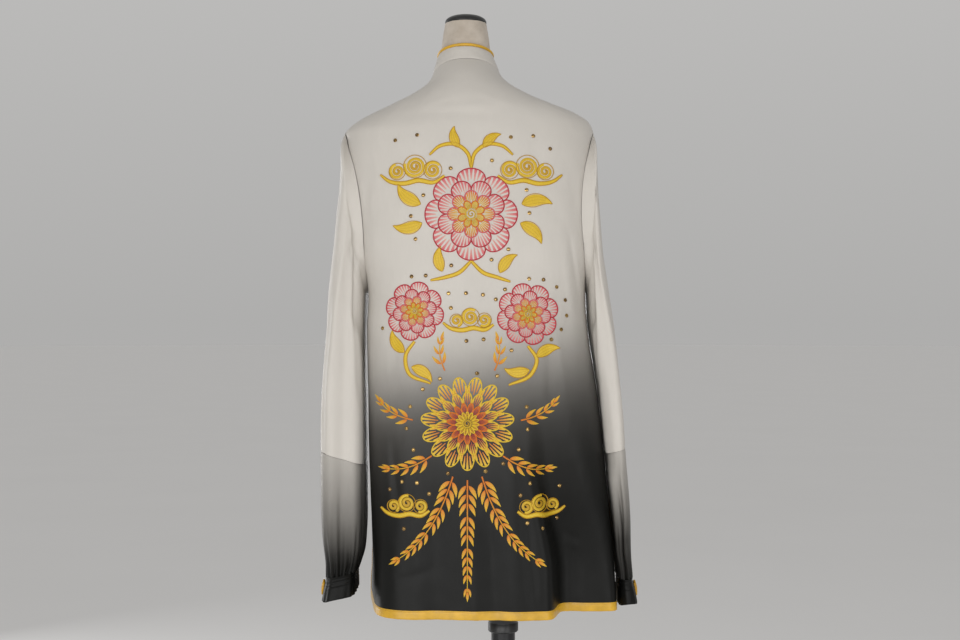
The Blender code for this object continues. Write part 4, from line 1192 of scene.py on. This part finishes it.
def build_collar():
    levels = np.linspace(COLLAR[0][0], COLLAR[-1][0], COLLAR_ROWS)[:, None]
    c = tracks(COLLAR, COLLAR_COLUMNS, levels)
    run = np.linspace(0, 1, COLLAR_POINTS)
    gap = COLLAR_OPENING / c["half_width"] / 2
    angles = -math.pi / 2 + gap + (2 * math.pi - 2 * gap) * run[None, :]
    x = c["mid_x"] + c["half_width"] * np.cos(angles)
    y = c["mid_y"] + c["half_depth"] * np.sin(angles)
    z = c["z"] + c["tilt"] * np.sin(angles)
    base = np.stack([x, y, z], axis=-1)
    inward = base.mean(axis=1, keepdims=True) - base
    inward[..., 2] = 0
    inward = unit(inward)
    rise = down_rows(COLLAR_ROWS)
    ridge = bump((rise - COLLAR_RIDGE_AT) / COLLAR_RIDGE_WIDTH) - bump(rise / COLLAR_GROOVE_WIDTH)
    lift = COLLAR_RIDGE * ridge + crumple(base, COLLAR_CRUMPLE, 41.0)
    outer = base - inward * lift[..., None]
    inner = outer + inward * COLLAR_WALL
    made = shell("cloth_collar_stand", outer, inner, MATERIAL["sleeve"])
    stand_for(made, "collar_stand")
    line = (outer[-1] + inner[-1]) / 2 + np.array([0, 0, PIPING_RADIUS + PIPING_CLEAR])
    radius = PIPING_RADIUS * (1 + waves(PIPING_SWELLS, run, 0))
    cord = add_parts("piping_collar", [tube_part(line, radius, 12)], MATERIAL["gold"])
    stand_for(cord, "collar_piping")


# Stitched flowers of the back

FLOSS = {
    "red": (0.40, 0.022, 0.035),
    "rose": (0.56, 0.105, 0.120),
    "blush": (0.62, 0.34, 0.29),
    "yellow": (0.64, 0.43, 0.025),
    "gold": (0.42, 0.225, 0.010),
    "orange": (0.58, 0.150, 0.012),
}
OUTLINE = 0.0019
FINE_OUTLINE = 0.0011
VEIN = 0.0010

# Rings of a stitched flower: tips and valleys as shares of its size, and its colours
RING_COLUMNS = ("outer", "inner", "line", "rim_fill", "deep_fill")
PEONY_RINGS = (
    (1.00, 0.75, "red", "rose", "blush"),
    (0.75, 0.51, "red", "rose", "blush"),
    (0.51, 0.30, "rose", "orange", "yellow"),
    (0.30, 0.13, "orange", "yellow", "yellow"),
)
MUM_RINGS = (
    (1.00, 0.68, "yellow", "yellow", "orange"),
    (0.68, 0.44, "yellow", "yellow", "red"),
    (0.44, 0.25, "orange", "orange", "red"),
    (0.25, 0.11, "yellow", "yellow", "yellow"),
)

# Motifs: kind, middle, size and turn in degrees
MOTIF_COLUMNS = ("kind", "x", "z", "size", "turn")
MOTIFS = (
    ("spray", 0.004, 0.866, 0.066, 214),
    ("spray", 0.032, 0.842, 0.140, 253),
    ("spray", 0.050, 0.838, 0.150, 270),
    ("spray", 0.068, 0.842, 0.140, 287),
    ("spray", 0.096, 0.866, 0.066, -34),
    ("spray", 0.122, 0.912, 0.052, 10),
    ("spray", -0.020, 0.912, 0.052, 170),
    ("spray", 0.080, 0.978, 0.042, 66),
    ("spray", 0.014, 0.978, 0.042, 114),
    ("leaf", 0.114, 1.206, 0.042, 22),
    ("leaf", -0.024, 1.206, 0.042, 158),
    ("leaf", 0.112, 1.180, 0.040, -24),
    ("leaf", -0.022, 1.180, 0.040, 204),
    ("leaf", 0.084, 1.114, 0.034, 66),
    ("leaf", 0.006, 1.112, 0.034, 114),
    ("leaf", 0.136, 1.004, 0.034, 40),
    ("leaf", 0.126, 0.984, 0.034, 196),
    ("leaf", -0.044, 0.998, 0.034, 140),
    ("leaf", -0.034, 0.980, 0.034, -16),
    ("leaf", 0.062, 1.284, 0.030, 58),
    ("leaf", 0.028, 1.284, 0.030, 122),
    ("peony", 0.045, 1.192, 0.063, 0),
    ("peony", 0.122, 1.060, 0.040, 12),
    ("peony", -0.032, 1.056, 0.042, 30),
    ("mum", 0.050, 0.908, 0.063, 6),
    ("cloud", 0.122, 1.258, 0.024, 0),
    ("cloud", -0.032, 1.258, 0.024, 1),
    ("cloud", 0.046, 1.052, 0.0185, 0),
    ("cloud", 0.132, 0.800, 0.018, 0),
    ("cloud", -0.048, 0.800, 0.018, 1),
)
VINES = (
    ((0.045, 1.128), (0.062, 1.112), (0.080, 1.106), (0.100, 1.102)),
    ((0.045, 1.128), (0.028, 1.112), (0.010, 1.106), (-0.008, 1.100)),
    ((0.122, 1.019), (0.134, 1.000), (0.130, 0.976), (0.100, 0.962)),
    ((-0.032, 1.013), (-0.044, 0.994), (-0.036, 0.974), (-0.006, 0.960)),
    ((0.045, 1.256), (0.050, 1.276), (0.066, 1.288), (0.088, 1.286), (0.102, 1.274)),
    ((0.045, 1.256), (0.040, 1.276), (0.024, 1.288), (0.002, 1.286), (-0.012, 1.274)),
)
# Shapes that the motifs share
OVER = 0.0003
VEIN_REACH = 0.80
TIP_WIDTH = 0.0006
RING_STEP = 0.0002
PETAL_REACH = 0.80
SHORT_STITCH = 0.82
LEAF_SPACING = 0.0125
LEAF_LENGTH = 0.0215
CURL_PITCH = 0.0052
CURL_COLUMNS = ("x", "z", "share")
CLOUD_CURLS = ((0.0, 0.0, 0.66), (1.02, -0.26, 0.48), (-1.02, -0.22, 0.52))
CLOUD_BASE = ((-1.7, -0.55), (-1.1, -0.92), (-0.2, -0.80), (0.6, -0.96), (1.5, -0.80), (2.0, -0.42))
FLOSS_RISE = 0.0006
FLOSS_BED = 0.0002
STRAND_LEAN = 0.6


def curve_through(points, count):
    points = np.array(points, float)
    at = run_along(points)
    return curve(at, points, np.linspace(0, at[-1], count))


def heading(angle):
    return np.stack([np.cos(angle), np.sin(angle)], axis=-1)


def polar(middle, angle, radius):
    return np.array(middle) + np.asarray(radius)[..., None] * heading(angle)


def stroke(line, width, colors, height, cells=4, lengthwise=False):
    """One run of satin stitch on the flat design: its middle line, widths and colours at both ends."""
    line = np.asarray(line, float)
    width = np.broadcast_to(width, len(line)).astype(float)
    start, end = (np.array(FLOSS[c]) for c in colors)
    return {
        "line": line, "width": width, "color": start + (end - start) * down_rows(len(line)),
        "height": height, "cells": cells, "lengthwise": lengthwise,
    }


def sideways(line):
    along = unit(np.gradient(line, axis=0))
    return np.stack([-along[:, 1], along[:, 0]], axis=1)


def blade(line, widths, fill, outline, height, veins=()):
    """A filled shape along a line, with an outline and inner veins."""
    side = sideways(line) * widths[:, None] / 2
    rim = np.concatenate([line + side, (line - side)[::-1]])
    made = [stroke(line, widths, fill, height, 6)]
    for offset in veins:
        inner = (line + side * offset)[1:int(len(line) * VEIN_REACH)]
        made.append(stroke(inner, VEIN, (outline, outline), height + OVER, 2))
    made.append(stroke(rim, FINE_OUTLINE, (outline, outline), height + OVER, 3))
    return made


def tapered(share, rounding=0.75):
    """Widths of a leaf along its line, widest near its foot."""
    return np.sin(math.pi * share ** rounding)


def scallop(middle, angle, half, inner, outer, point, colors, stitches_across, height):
    """One petal of a ring: an arched outline over long and short stitches."""
    line, rim_fill, deep_fill = colors
    made = []
    spacing = half * outer * 2 / stitches_across
    t = np.linspace(0, 1, 5)
    for k, u in enumerate(np.linspace(-PETAL_REACH, PETAL_REACH, stitches_across)):
        top = inner + (outer - inner) * (1 - abs(u) ** 2) ** point - OUTLINE * 0.5
        length = (outer - inner) * (1.10 - 0.35 * abs(u)) * (SHORT_STITCH if k % 2 else 1.0)
        run = polar(middle, angle + half * u * (1 - 0.15 * t), top - length * t)
        made.append(stroke(run, spacing * (0.80 - 0.52 * t), (rim_fill, deep_fill), height, 2, True))
    u = -np.cos(np.linspace(0, math.pi, 21))
    rim = polar(middle, angle + half * u, inner + (outer - inner) * (1 - u * u) ** point)
    made.append(stroke(rim, OUTLINE, (line, line), height + OVER))
    return made


def coil(middle, radius, turns, width, height):
    t = np.linspace(0.10, 1, int(18 * turns))
    return stroke(polar(middle, 2 * math.pi * turns * t, radius * t), width, ("gold", "yellow"), height)


def rosette(middle, size, turn, rings, count, point, stitches_across):
    """A flower of overlapping rings of petals round a coiled middle."""
    made = []
    for number, r in enumerate(named(RING_COLUMNS, rings)):
        colors = (r["line"], r["rim_fill"], r["deep_fill"])
        for k in range(count):
            angle = turn + 2 * math.pi * (k + 0.5 * number) / count
            made += scallop(
                middle, angle, math.pi / count, r["inner"] * size, r["outer"] * size, point,
                colors, stitches_across, RING_STEP * number,
            )
    made.append(coil(middle, rings[-1][1] * size, 2.2, 0.0018, 0.0008))
    return made


def peony(middle, size, turn):
    return rosette(middle, size, turn, PEONY_RINGS, 8, 0.45, 7)


def mum(middle, size, turn):
    return rosette(middle, size, turn, MUM_RINGS, 15, 0.75, 5)


def leaf(middle, size, turn):
    t = np.linspace(0, 1, 15)
    line = polar(middle, turn + 0.35 * t ** 2, size * t)
    widths = size * 0.42 * tapered(t, 0.8) + TIP_WIDTH
    return blade(line, widths, ("yellow", "yellow"), "gold", 0.0, (-0.5, 0.0, 0.5))


def spray(middle, size, turn):
    """A bending stem with pairs of small leaves and one at its tip."""
    cells = 25
    colors = ("orange", "yellow")
    t = np.linspace(0, 1, cells + 1)
    swing = np.sign(round(math.cos(turn), 3))
    angle = turn + swing * 0.70 * t ** 1.5
    line = np.array(middle) + np.cumsum(size / cells * heading(angle), axis=0)
    made = [stroke(line, 0.0024 - 0.0012 * t, colors, OVER)]
    pairs = max(int(size / LEAF_SPACING), 3)
    u = np.linspace(0, 1, 9)
    for k in range(pairs):
        share = (k + 0.6) / pairs
        at = int(share * cells)
        length = LEAF_LENGTH * (1 - 0.45 * share) * min(1.0, 0.62 + 5 * size)
        for side in (-1, 1):
            bend = angle[at] + side * (0.80 - 0.25 * share) - side * 0.45 * u
            run = line[at] + length / 8 * np.cumsum(heading(bend), axis=0)
            made.append(stroke(run, length * 0.30 * tapered(u) + 0.0005, colors, 0.0, 4))
    tip = line[-1] + 0.013 * u[:, None] * heading(angle[-1])
    made.append(stroke(tip, 0.0042 * tapered(u) + 0.0005, colors, 0.0, 4))
    return made


def cloud(middle, size, flip):
    """A curled cloud of three coils on a trailing base line."""
    toward = np.array([-size if flip else size, size])
    made = []
    for c in named(CURL_COLUMNS, CLOUD_CURLS):
        place = np.array(middle) + toward * (c["x"], c["z"])
        radius = c["share"] * size
        made.append(coil(place, radius * 0.90, radius / CURL_PITCH, 0.0044, OVER))
        t = np.linspace(0, 2 * math.pi, 30)
        made.append(stroke(polar(place, t, radius), FINE_OUTLINE, ("gold", "gold"), 0.0005))
    line = curve_through(np.array(middle) + toward * CLOUD_BASE, 40)
    widths = 0.0052 * np.sin(math.pi * np.linspace(0.06, 0.97, 40)) ** 0.6 + 0.0008
    return made + blade(line, widths, ("yellow", "yellow"), "gold", 0.0002)


def vine(points):
    line = curve_through(points, 34)
    widths = 0.0040 * np.sin(math.pi * np.linspace(0.10, 0.97, 34)) ** 0.5 + 0.0008
    return blade(line, widths, ("yellow", "yellow"), "gold", 0.0)


def design():
    """Every stroke of the back, vines first."""
    makers = {"peony": peony, "mum": mum, "leaf": leaf, "spray": spray}
    strokes = []
    for points in VINES:
        strokes += vine(points)
    for m in named(MOTIF_COLUMNS, MOTIFS):
        middle = (m["x"], m["z"])
        if m["kind"] == "cloud":
            strokes += cloud(middle, m["size"], m["turn"])
        else:
            strokes += makers[m["kind"]](middle, m["size"], math.radians(m["turn"]))
    return strokes


def sample(grids, row, share, columns):
    """Points of grids between a row and the next, at a fractional column of each row."""
    ends = []
    for k, c in zip((row, row + 1), columns):
        i = min(int(c), grids[0].shape[1] - 2)
        ends.append([g[k, i] * (1 - (c - i)) + g[k, i + 1] * (c - i) for g in grids])
    return [a * (1 - share) + b * share for a, b in zip(*ends)]


def row_at(z, levels):
    """The row below a height, and the share of the way to the next."""
    r = np.interp(z, levels, np.arange(len(levels)))
    low = min(int(r), len(levels) - 2)
    return low, r - low


def back_place(levels, grid):
    """A finder of the back's points and normals by their place across and up."""
    outer, _, normals = grid
    index = np.arange(outer.shape[1])

    def place(xs, zs):
        found = []
        for x, z in zip(xs, zs):
            low, share = row_at(z, levels)
            columns = [np.interp(-x, -outer[k, :, 0], index) for k in (low, low + 1)]
            found.append(sample((outer, normals), low, share, columns))
        found = np.array(found)
        return found[:, 0], found[:, 1]

    return place


def stitched_grid(s, place):
    """One stroke as raised points, with its faces, colours and the run of its threads."""
    columns = s["cells"] + 1
    across = np.linspace(-1, 1, columns)
    side = sideways(s["line"]) * s["width"][:, None] / 2
    flat = s["line"][:, None] + side[:, None] * across[None, :, None]
    spots, normals = place(flat[..., 0].ravel(), flat[..., 1].ravel())
    dome = FLOSS_RISE * np.sqrt(np.maximum(1 - np.abs(across) ** 3, 0))
    dome[[0, -1]] = -FLOSS_BED
    lift = np.tile(dome + (np.abs(across) < 1) * s["height"], len(s["line"]))
    u = np.repeat(run_along(s["line"]), columns)
    v = (across[None, :] * s["width"][:, None] / 2).ravel()
    strands = np.stack([v, u] if s["lengthwise"] else [u + STRAND_LEAN * v, v], axis=1)
    colors = np.repeat(s["color"], columns, axis=0)
    return spots + normals * lift[:, None], grid_faces(len(s["line"]), columns, False), colors, strands


def build_embroidery(place):
    """Every stitched stroke of the back as one raised mesh."""
    strokes = design()
    points, faces, colors, strands = zip(*(stitched_grid(s, place) for s in strokes))
    starts = np.cumsum([0] + [len(part) for part in points[:-1]])
    faces = np.concatenate([part + start for part, start in zip(faces, starts)])
    points = np.concatenate(points)
    mesh = bpy.data.meshes.new("embroidery_back")
    mesh.from_pydata(points, [], faces.tolist())
    corner, ahead, opposite = points[faces[0][:3]]
    if np.cross(ahead - corner, opposite - corner)[1] < 0:
        mesh.flip_normals()
    mesh.shade_smooth()
    floss = mesh.color_attributes.new("floss", "FLOAT_COLOR", "POINT")
    colors = np.concatenate(colors)
    floss.data.foreach_set("color", np.concatenate([colors, np.ones((len(colors), 1))], axis=1).ravel())
    layer = mesh.uv_layers.new(name="strand")
    corners = np.empty(len(mesh.loops), int)
    mesh.loops.foreach_get("vertex_index", corners)
    layer.data.foreach_set("uv", np.concatenate(strands)[corners].ravel())
    mesh.materials.append(MATERIAL["floss"])
    made = add_object("embroidery_back", mesh)
    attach(made, "root")
    return np.concatenate([s["line"] for s in strokes])


GEM_RADIUS = 0.0027
GEM_ROOM = 0.0058
GEM_SPACING = 0.016
GEM_SIDES = 8
# Where stones may stand across the back, clear of the side seams
GEM_FROM_X = -0.090
GEM_TO_X = 0.168
# Stones stand round each large motif at this share of its size
GEM_RINGS = {"peony": (1.20, 16), "mum": (1.20, 17), "cloud": (1.80, 9)}
# A stone's cut: share of its radius, rise, and turn in sides
GEM_COLUMNS = ("share", "rise", "turn")
GEM_PROFILE = ((1.0, -0.0001, 0.0), (1.04, 0.0007, 0.0), (0.58, 0.0018, 0.5), (0.12, 0.0020, 0.5))


def gem_spots(stitched):
    """Where the stones go: round the motifs, clear of stitches and of each other."""
    spots = []
    for m in named(MOTIF_COLUMNS, MOTIFS):
        reach, count = GEM_RINGS.get(m["kind"], (0, 0))
        for k in range(count):
            angle = 2 * math.pi * (k + 0.35) / count + m["x"] * 40
            radius = m["size"] * reach * (1 + 0.10 * math.sin(7 * k + m["z"] * 90))
            x, z = m["x"] + radius * math.cos(angle), m["z"] + radius * math.sin(angle)
            near = any(math.hypot(x - a, z - b) < GEM_SPACING for a, b in spots)
            near = near or np.hypot(*(stitched - (x, z)).T).min() < GEM_ROOM
            if GEM_FROM_X < x < GEM_TO_X and not near:
                spots.append((x, z))
    return np.array(spots)


def build_gems(place, stitched):
    """Faceted stones set round the stitched motifs."""
    centres, normals = place(*gem_spots(stitched).T)
    parts = []
    for centre, normal in zip(centres, normals):
        a = unit(np.cross(normal, (0.0, 0.0, 1.0)))
        b = np.cross(normal, a)
        rings = []
        for g in named(GEM_COLUMNS, GEM_PROFILE):
            t = round_steps(GEM_SIDES) + g["turn"] * 2 * math.pi / GEM_SIDES
            ring = np.cos(t)[:, None] * a + np.sin(t)[:, None] * b
            rings.append(centre + GEM_RADIUS * g["share"] * ring + normal * g["rise"])
        parts.append((np.concatenate(rings), grid_faces(len(rings), GEM_SIDES, True)))
    made = add_parts("stones_back", parts, MATERIAL["crystal"], sharp=0)


# Frog closures of the front

FROG_COIL_START = 0.8
FROG_COIL_POINTS = 84
FROG_COIL_DOME = 0.0009
FROG_BAR_POINTS = 26
FROG_BAR_APART = 1.04
# Where the two bars of the button's half and of the loop's half begin
BUTTON_BAR_START = 0.0030
LOOP_BAR_START = 0.0100
FROG_SEAT = 0.9
BINDING_STEP = 0.006
# The knot: a cord wound round a ball, which a core fills
KNOT_LIFT = 0.0022
KNOT_TURNS = 3
KNOT_POINTS = 150
KNOT_SWINGS = 5
KNOT_TILT = 0.95
KNOT_WEAVE = 0.10
KNOT_CORD = 0.00115
KNOT_CORE = 0.94
KNOT_CORE_REACH = 0.96
KNOT_CORE_ROWS = 7
KNOT_CORE_SIDES = 16
# The loop round it: its middle, half sizes and how far round it goes, then the tail to its bars
LOOP_MIDDLE = 0.0006
LOOP_ACROSS = 0.0068
LOOP_UP = 0.0070
LOOP_SWEEP = 0.86
LOOP_POINTS = 40
LOOP_TAIL = -0.0105
LOOP_TAIL_POINTS = 9
LOOP_RISE = 0.0026
LOOP_RISE_AT = 0.0074
LOOP_RISE_WIDTH = 0.0060


def front_place(levels, panels):
    """A finder of front points by signed distance from the centre line and height."""
    sides = {}
    for side, node, step in ((True, "jacket_front_left", 1), (False, "jacket_front_right", -1)):
        outer, _, normals = panels[node]
        outer = outer[:, ::step]
        sides[side] = ((outer, normals[:, ::step]), run_along(outer))

    def one(s, z):
        grids, runs = sides[s >= 0]
        low, share = row_at(z, levels)
        c = np.interp(max(abs(s) - CENTRE_GAP, 0), runs[low], np.arange(runs.shape[1]))
        return sample(grids, low, share, (c, c))

    def place(s, z):
        found = np.array([one(a, b) for a, b in zip(s, z)])
        near = np.abs(s) < CENTRE_GAP
        if near.any():
            ends = np.array([[one(side * CENTRE_GAP, b) for side in (-1, 1)] for b in z[near]])
            share = ((s[near] / CENTRE_GAP + 1) / 2)[:, None, None]
            found[near] = ends[:, 0] * (1 - share) + ends[:, 1] * share
        return found[:, 0], found[:, 1]

    return place


def cord_on_front(place, s, v, z, lift):
    """A cord laid on the front through signed distances, heights above a level and lifts."""
    points, normals = place(s, z + v)
    over_binding = BINDING_THICK * (1 - ease((np.abs(s) - BINDING_WIDTH) / BINDING_STEP))
    line = points + normals * (over_binding + FROG_CORD * FROG_SEAT + lift)[:, None]
    return tube_part(line, FROG_CORD, 8, normals)


def frog_half(place, z, sign, start):
    """Two bars side by side and the coil at their end."""
    out = np.linspace(start, FROG_COIL_MIDDLE - FROG_COIL_RADIUS, FROG_BAR_POINTS)
    flat = np.zeros(FROG_BAR_POINTS)
    apart = FROG_CORD * FROG_BAR_APART
    parts = [cord_on_front(place, sign * out, flat + apart * row, z, flat) for row in (-1, 1)]
    turns = np.linspace(FROG_COIL_START, 2 * math.pi * FROG_COIL_TURNS, FROG_COIL_POINTS)
    radius = FROG_COIL_RADIUS * turns / turns[-1]
    s = sign * (FROG_COIL_MIDDLE - radius * np.cos(turns))
    dome = FROG_COIL_DOME * (1 - (radius / FROG_COIL_RADIUS) ** 2)
    return parts + [cord_on_front(place, s, radius * np.sin(turns), z, dome)]


def frog_knot(place, z):
    """A ball of cord wound over and under itself, on a core."""
    middle, normal = (found[0] for found in place(np.array([0.0]), np.array([z])))
    knot = middle + normal * (KNOT_RADIUS + KNOT_LIFT)
    a = unit(np.cross(normal, (0.0, 0.0, 1.0)))
    b = np.cross(normal, a)
    t = np.linspace(0, 2 * math.pi * KNOT_TURNS, KNOT_POINTS)
    tilt = KNOT_TILT * np.sin(KNOT_SWINGS * t / KNOT_TURNS)
    wound = (np.cos(tilt) * np.cos(t))[:, None] * a + (np.cos(tilt) * np.sin(t))[:, None] * b
    wound = wound + np.sin(tilt)[:, None] * normal
    weave = 1 + KNOT_WEAVE * np.cos(KNOT_SWINGS * t * 2 / KNOT_TURNS)
    cord = tube_part(knot + KNOT_RADIUS * weave[:, None] * wound, KNOT_CORD, 7, wound)
    turns = np.linspace(0, 2 * math.pi, KNOT_CORE_SIDES + 1)[:-1, None]
    core = []
    for share in np.linspace(-KNOT_CORE_REACH, KNOT_CORE_REACH, KNOT_CORE_ROWS):
        ring = math.sqrt(1 - share * share) * (np.cos(turns) * a + np.sin(turns) * b)
        core.append(knot + KNOT_CORE * KNOT_RADIUS * (ring + share * normal))
    return [cord, (np.concatenate(core), grid_faces(KNOT_CORE_ROWS, KNOT_CORE_SIDES, True))]


def frog_loop(place, z):
    """The cord loop that holds the knot, from one bar round it to the other."""
    t = np.linspace(-LOOP_SWEEP * math.pi, LOOP_SWEEP * math.pi, LOOP_POINTS)
    s = LOOP_ACROSS * np.cos(t) + LOOP_MIDDLE
    v = LOOP_UP * np.sin(t)
    tail = np.linspace(0, 1, LOOP_TAIL_POINTS)[1:]
    tail_s = s[-1] + (LOOP_TAIL - s[-1]) * tail
    tail_v = v[-1] + (FROG_CORD * FROG_BAR_APART - v[-1]) * ease(tail)
    s = np.concatenate([tail_s[::-1], s, tail_s])
    v = np.concatenate([-tail_v[::-1], v, tail_v])
    return cord_on_front(place, s, v, z, LOOP_RISE * bump((s - LOOP_RISE_AT) / LOOP_RISE_WIDTH))


def build_frogs(levels, panels):
    place = front_place(levels, panels)
    for number, z in enumerate(FROG_LEVELS, start=1):
        halves = {
            "button": frog_knot(place, z) + frog_half(place, z, 1, BUTTON_BAR_START),
            "loop": [frog_loop(place, z)] + frog_half(place, z, -1, LOOP_BAR_START),
        }
        for half, parts in halves.items():
            node = f"frog_{half}_{number}"
            stand_for(add_parts("cord_" + node, parts, MATERIAL["gold_cord"]), node)


# Form and stand

FORM_POINTS = 96
FORM_ROWS = 190
CAP_ROWS = 24
# The neck's jersey is a little uneven
NECK_SWELL_FROM_Z = 1.38
NECK_SWELL_RISE = 0.03


def flat_ring(z, mid, half_x, half_y, count, tilt=0.0):
    angle = round_steps(count)
    dx, dy = oval(angle, half_x, half_y, 2.0)
    return np.stack([mid[0] + dx, mid[1] + dy, z + tilt * np.sin(angle)], axis=1)


def torso_rings():
    """Rings of the form: its own body, then a little inside the jacket's shoulders, then its neck."""
    angle = round_steps(FORM_POINTS)
    rings = []
    for row in named(FORM_COLUMNS, FORM):
        x, dy, _ = section(row, angle, FORM_POWER)
        rings.append(np.stack([x, row["side_y"] + dy, np.full(FORM_POINTS, row["z"])], axis=1))
    for row in named(BODY_COLUMNS, BODY):
        if row["z"] >= SHOULDER_Z:
            base = body_surface(row["z"], angle)
            inward = base.mean(axis=0) - base
            inward[:, 2] = 0
            rings.append(base + unit(inward) * FORM_GAP + np.array([0, 0, -0.5 * FORM_GAP]))
    for n in named(NECK_COLUMNS, NECK):
        half_x, half_y = n["half_width"], n["half_depth"]
        rings.append(flat_ring(n["z"], NECK_MID, half_x, half_y, FORM_POINTS, n["tilt"]))
    return smooth_rows(np.array(rings), FORM_ROWS)


def build_form():
    rings = torso_rings()
    near_neck = ease((rings[..., 2] - NECK_SWELL_FROM_Z) / NECK_SWELL_RISE)
    lift = crumple(rings, NECK_CRUMPLE, 61.0) * near_neck
    rings = rings + grid_normals(rings, True) * lift[..., None]
    stand_for(loft("cover_form_torso", rings, MATERIAL["jersey"], 60), "form_torso")
    top = named(NECK_COLUMNS, NECK)[-1]
    caps = []
    for c in named(CAP_COLUMNS, CAP):
        half_x, half_y = top["half_width"] * c["share"], top["half_depth"] * c["share"]
        caps.append(flat_ring(NECK_TOP_Z + c["rise"], NECK_MID, half_x, half_y, FORM_POINTS))
    cap = loft("shell_neck_cap", smooth_rows(np.array(caps), CAP_ROWS), MATERIAL["plastic"], 60)
    stand_for(cap, "form_neck_cap")


def lathe(name, node, profile, material):
    """A turned solid about the stand's axis, through radius and height pairs."""
    rings = [flat_ring(z, (0.0, 0.0), radius, radius, 128) for radius, z in profile]
    stand_for(loft(name, np.array(rings), MATERIAL[material], 40), node)


def rounded(radius, z, up):
    """A quarter round at a rim: the lower one, going out and up, or the upper one, going back in."""
    turns = np.linspace(0, math.pi / 2, 7)
    swing = [(math.sin(t), -math.cos(t)) if up else (math.cos(t), math.sin(t)) for t in turns]
    return [(radius - BASE_EDGE + BASE_EDGE * a, z + BASE_EDGE * b) for a, b in swing]


def build_stand():
    top = BASE_THICK - 0.0002
    base = [(BASE_RADIUS - 0.03, 0.0)] + rounded(BASE_RADIUS, BASE_EDGE, True)
    base += rounded(BASE_RADIUS, BASE_THICK - BASE_EDGE, False)
    base += [(0.120, top), (0.034, top), (0.0300, BASE_THICK)]
    lathe("turned_base", "stand_base", base, "steel")
    pole = [(POLE_RADIUS + out, z) for out, z in POLE_PROFILE]
    lathe("turned_pole", "stand_pole", pole, "steel")
    collar = [(POLE_COLLAR_RADIUS - inset, z) for inset, z in POLE_COLLAR_PROFILE]
    lathe("turned_pole_collar", "stand_collar", collar, "plastic")


# Camera, floor and lights

ZENITH = (0.54, 0.535, 0.527)
HORIZON = 0.79
HORIZON_RISE = 0.35
FLOOR_RADIUS = 60
FLOOR_POINTS = 96
FLOOR_TONES = ((0.3, (0.795, 0.79, 0.785)), (0.7, (0.805, 0.80, 0.795)))
LIGHT_AIM = (0.03, 0.0, 0.95)
LIGHT_COLUMNS = ("name", "place", "size", "power")
LIGHTS = (
    ("key", (0.3, 2.5, 1.0), (1.2, 1.2), 17),
    ("key_left", (1.9, 2.6, 0.9), (1.2, 1.8), 20),
    ("key_right", (-1.7, 2.7, 1.0), (1.2, 1.8), 18),
    ("front", (0.4, -2.4, 1.1), (1.2, 1.2), 17),
    ("front_left", (2.3, -2.1, 1.0), (1.2, 1.8), 18),
)


def build_camera():
    data = bpy.data.cameras.new("camera")
    data.sensor_width = SENSOR
    data.lens = FOCAL_PIXELS / FRAME_PIXELS * SENSOR
    made = add_object("camera", data)
    made.location = CAMERA_PLACE
    made.rotation_euler = (math.radians(90), 0.0, math.radians(180))
    bpy.context.scene.camera = made


def soft_light(name, place, size, power):
    data = bpy.data.lights.new(name, "AREA")
    data.shape = "RECTANGLE"
    data.size, data.size_y = size
    data.energy = power
    made = add_object(name, data)
    made.location = place
    made.rotation_euler = (Vector(LIGHT_AIM) - Vector(place)).to_track_quat("-Z", "Y").to_euler()


def build_floor():
    made, tree, place = surface("pale_floor", Roughness=0.8, Specular_IOR_Level=0.1)
    finish(made, ramp_of(tree, noise_of(tree, place, 1.3), FLOOR_TONES))
    turns = round_steps(FLOOR_POINTS)
    ring = [(FLOOR_RADIUS * math.cos(t), FLOOR_RADIUS * math.sin(t), 0.0) for t in turns]
    mesh = bpy.data.meshes.new("floor")
    mesh.from_pydata(ring, [], [list(range(FLOOR_POINTS))])
    mesh.materials.append(made)
    add_object("floor", mesh)


def build_world():
    """A pale world, a little darker at the horizon, where it meets the floor."""
    world = bpy.data.worlds.new("studio")
    bpy.context.scene.world = world
    world.use_nodes = True
    sky = world.node_tree
    direction = sky.nodes.new("ShaderNodeTexCoord").outputs["Generated"]
    rise = add_node(sky, "SeparateXYZ", {"Vector": direction}).outputs["Z"]
    inputs = {"Value": rise, "From Min": 0.0, "From Max": HORIZON_RISE}
    share = add_node(sky, "MapRange", inputs).outputs["Result"]
    horizon = tuple(c * HORIZON for c in ZENITH)
    color = ramp_of(sky, share, ((0.0, horizon), (1.0, ZENITH)))
    sky.links.new(color, sky.nodes["Background"].inputs["Color"])
    sky.nodes["Background"].inputs["Strength"].default_value = 1.0


def build_studio():
    build_floor()
    build_world()
    for light in named(LIGHT_COLUMNS, LIGHTS):
        soft_light(**light)
    bpy.context.scene.view_settings.view_transform = "Standard"


levels, panels = build_body()
build_bindings(levels, panels)
for side, sleeve, sleeve_end, cuff, seed in SLEEVES:
    build_sleeve(side, sleeve, seed)
    build_sleeve_end(side, sleeve_end, seed)
    build_cuff(side, cuff, seed)
build_collar()
back_finder = back_place(levels, panels["jacket_back"])
build_gems(back_finder, build_embroidery(back_finder))
build_frogs(levels, panels)
build_form()
build_stand()
build_camera()
build_studio()
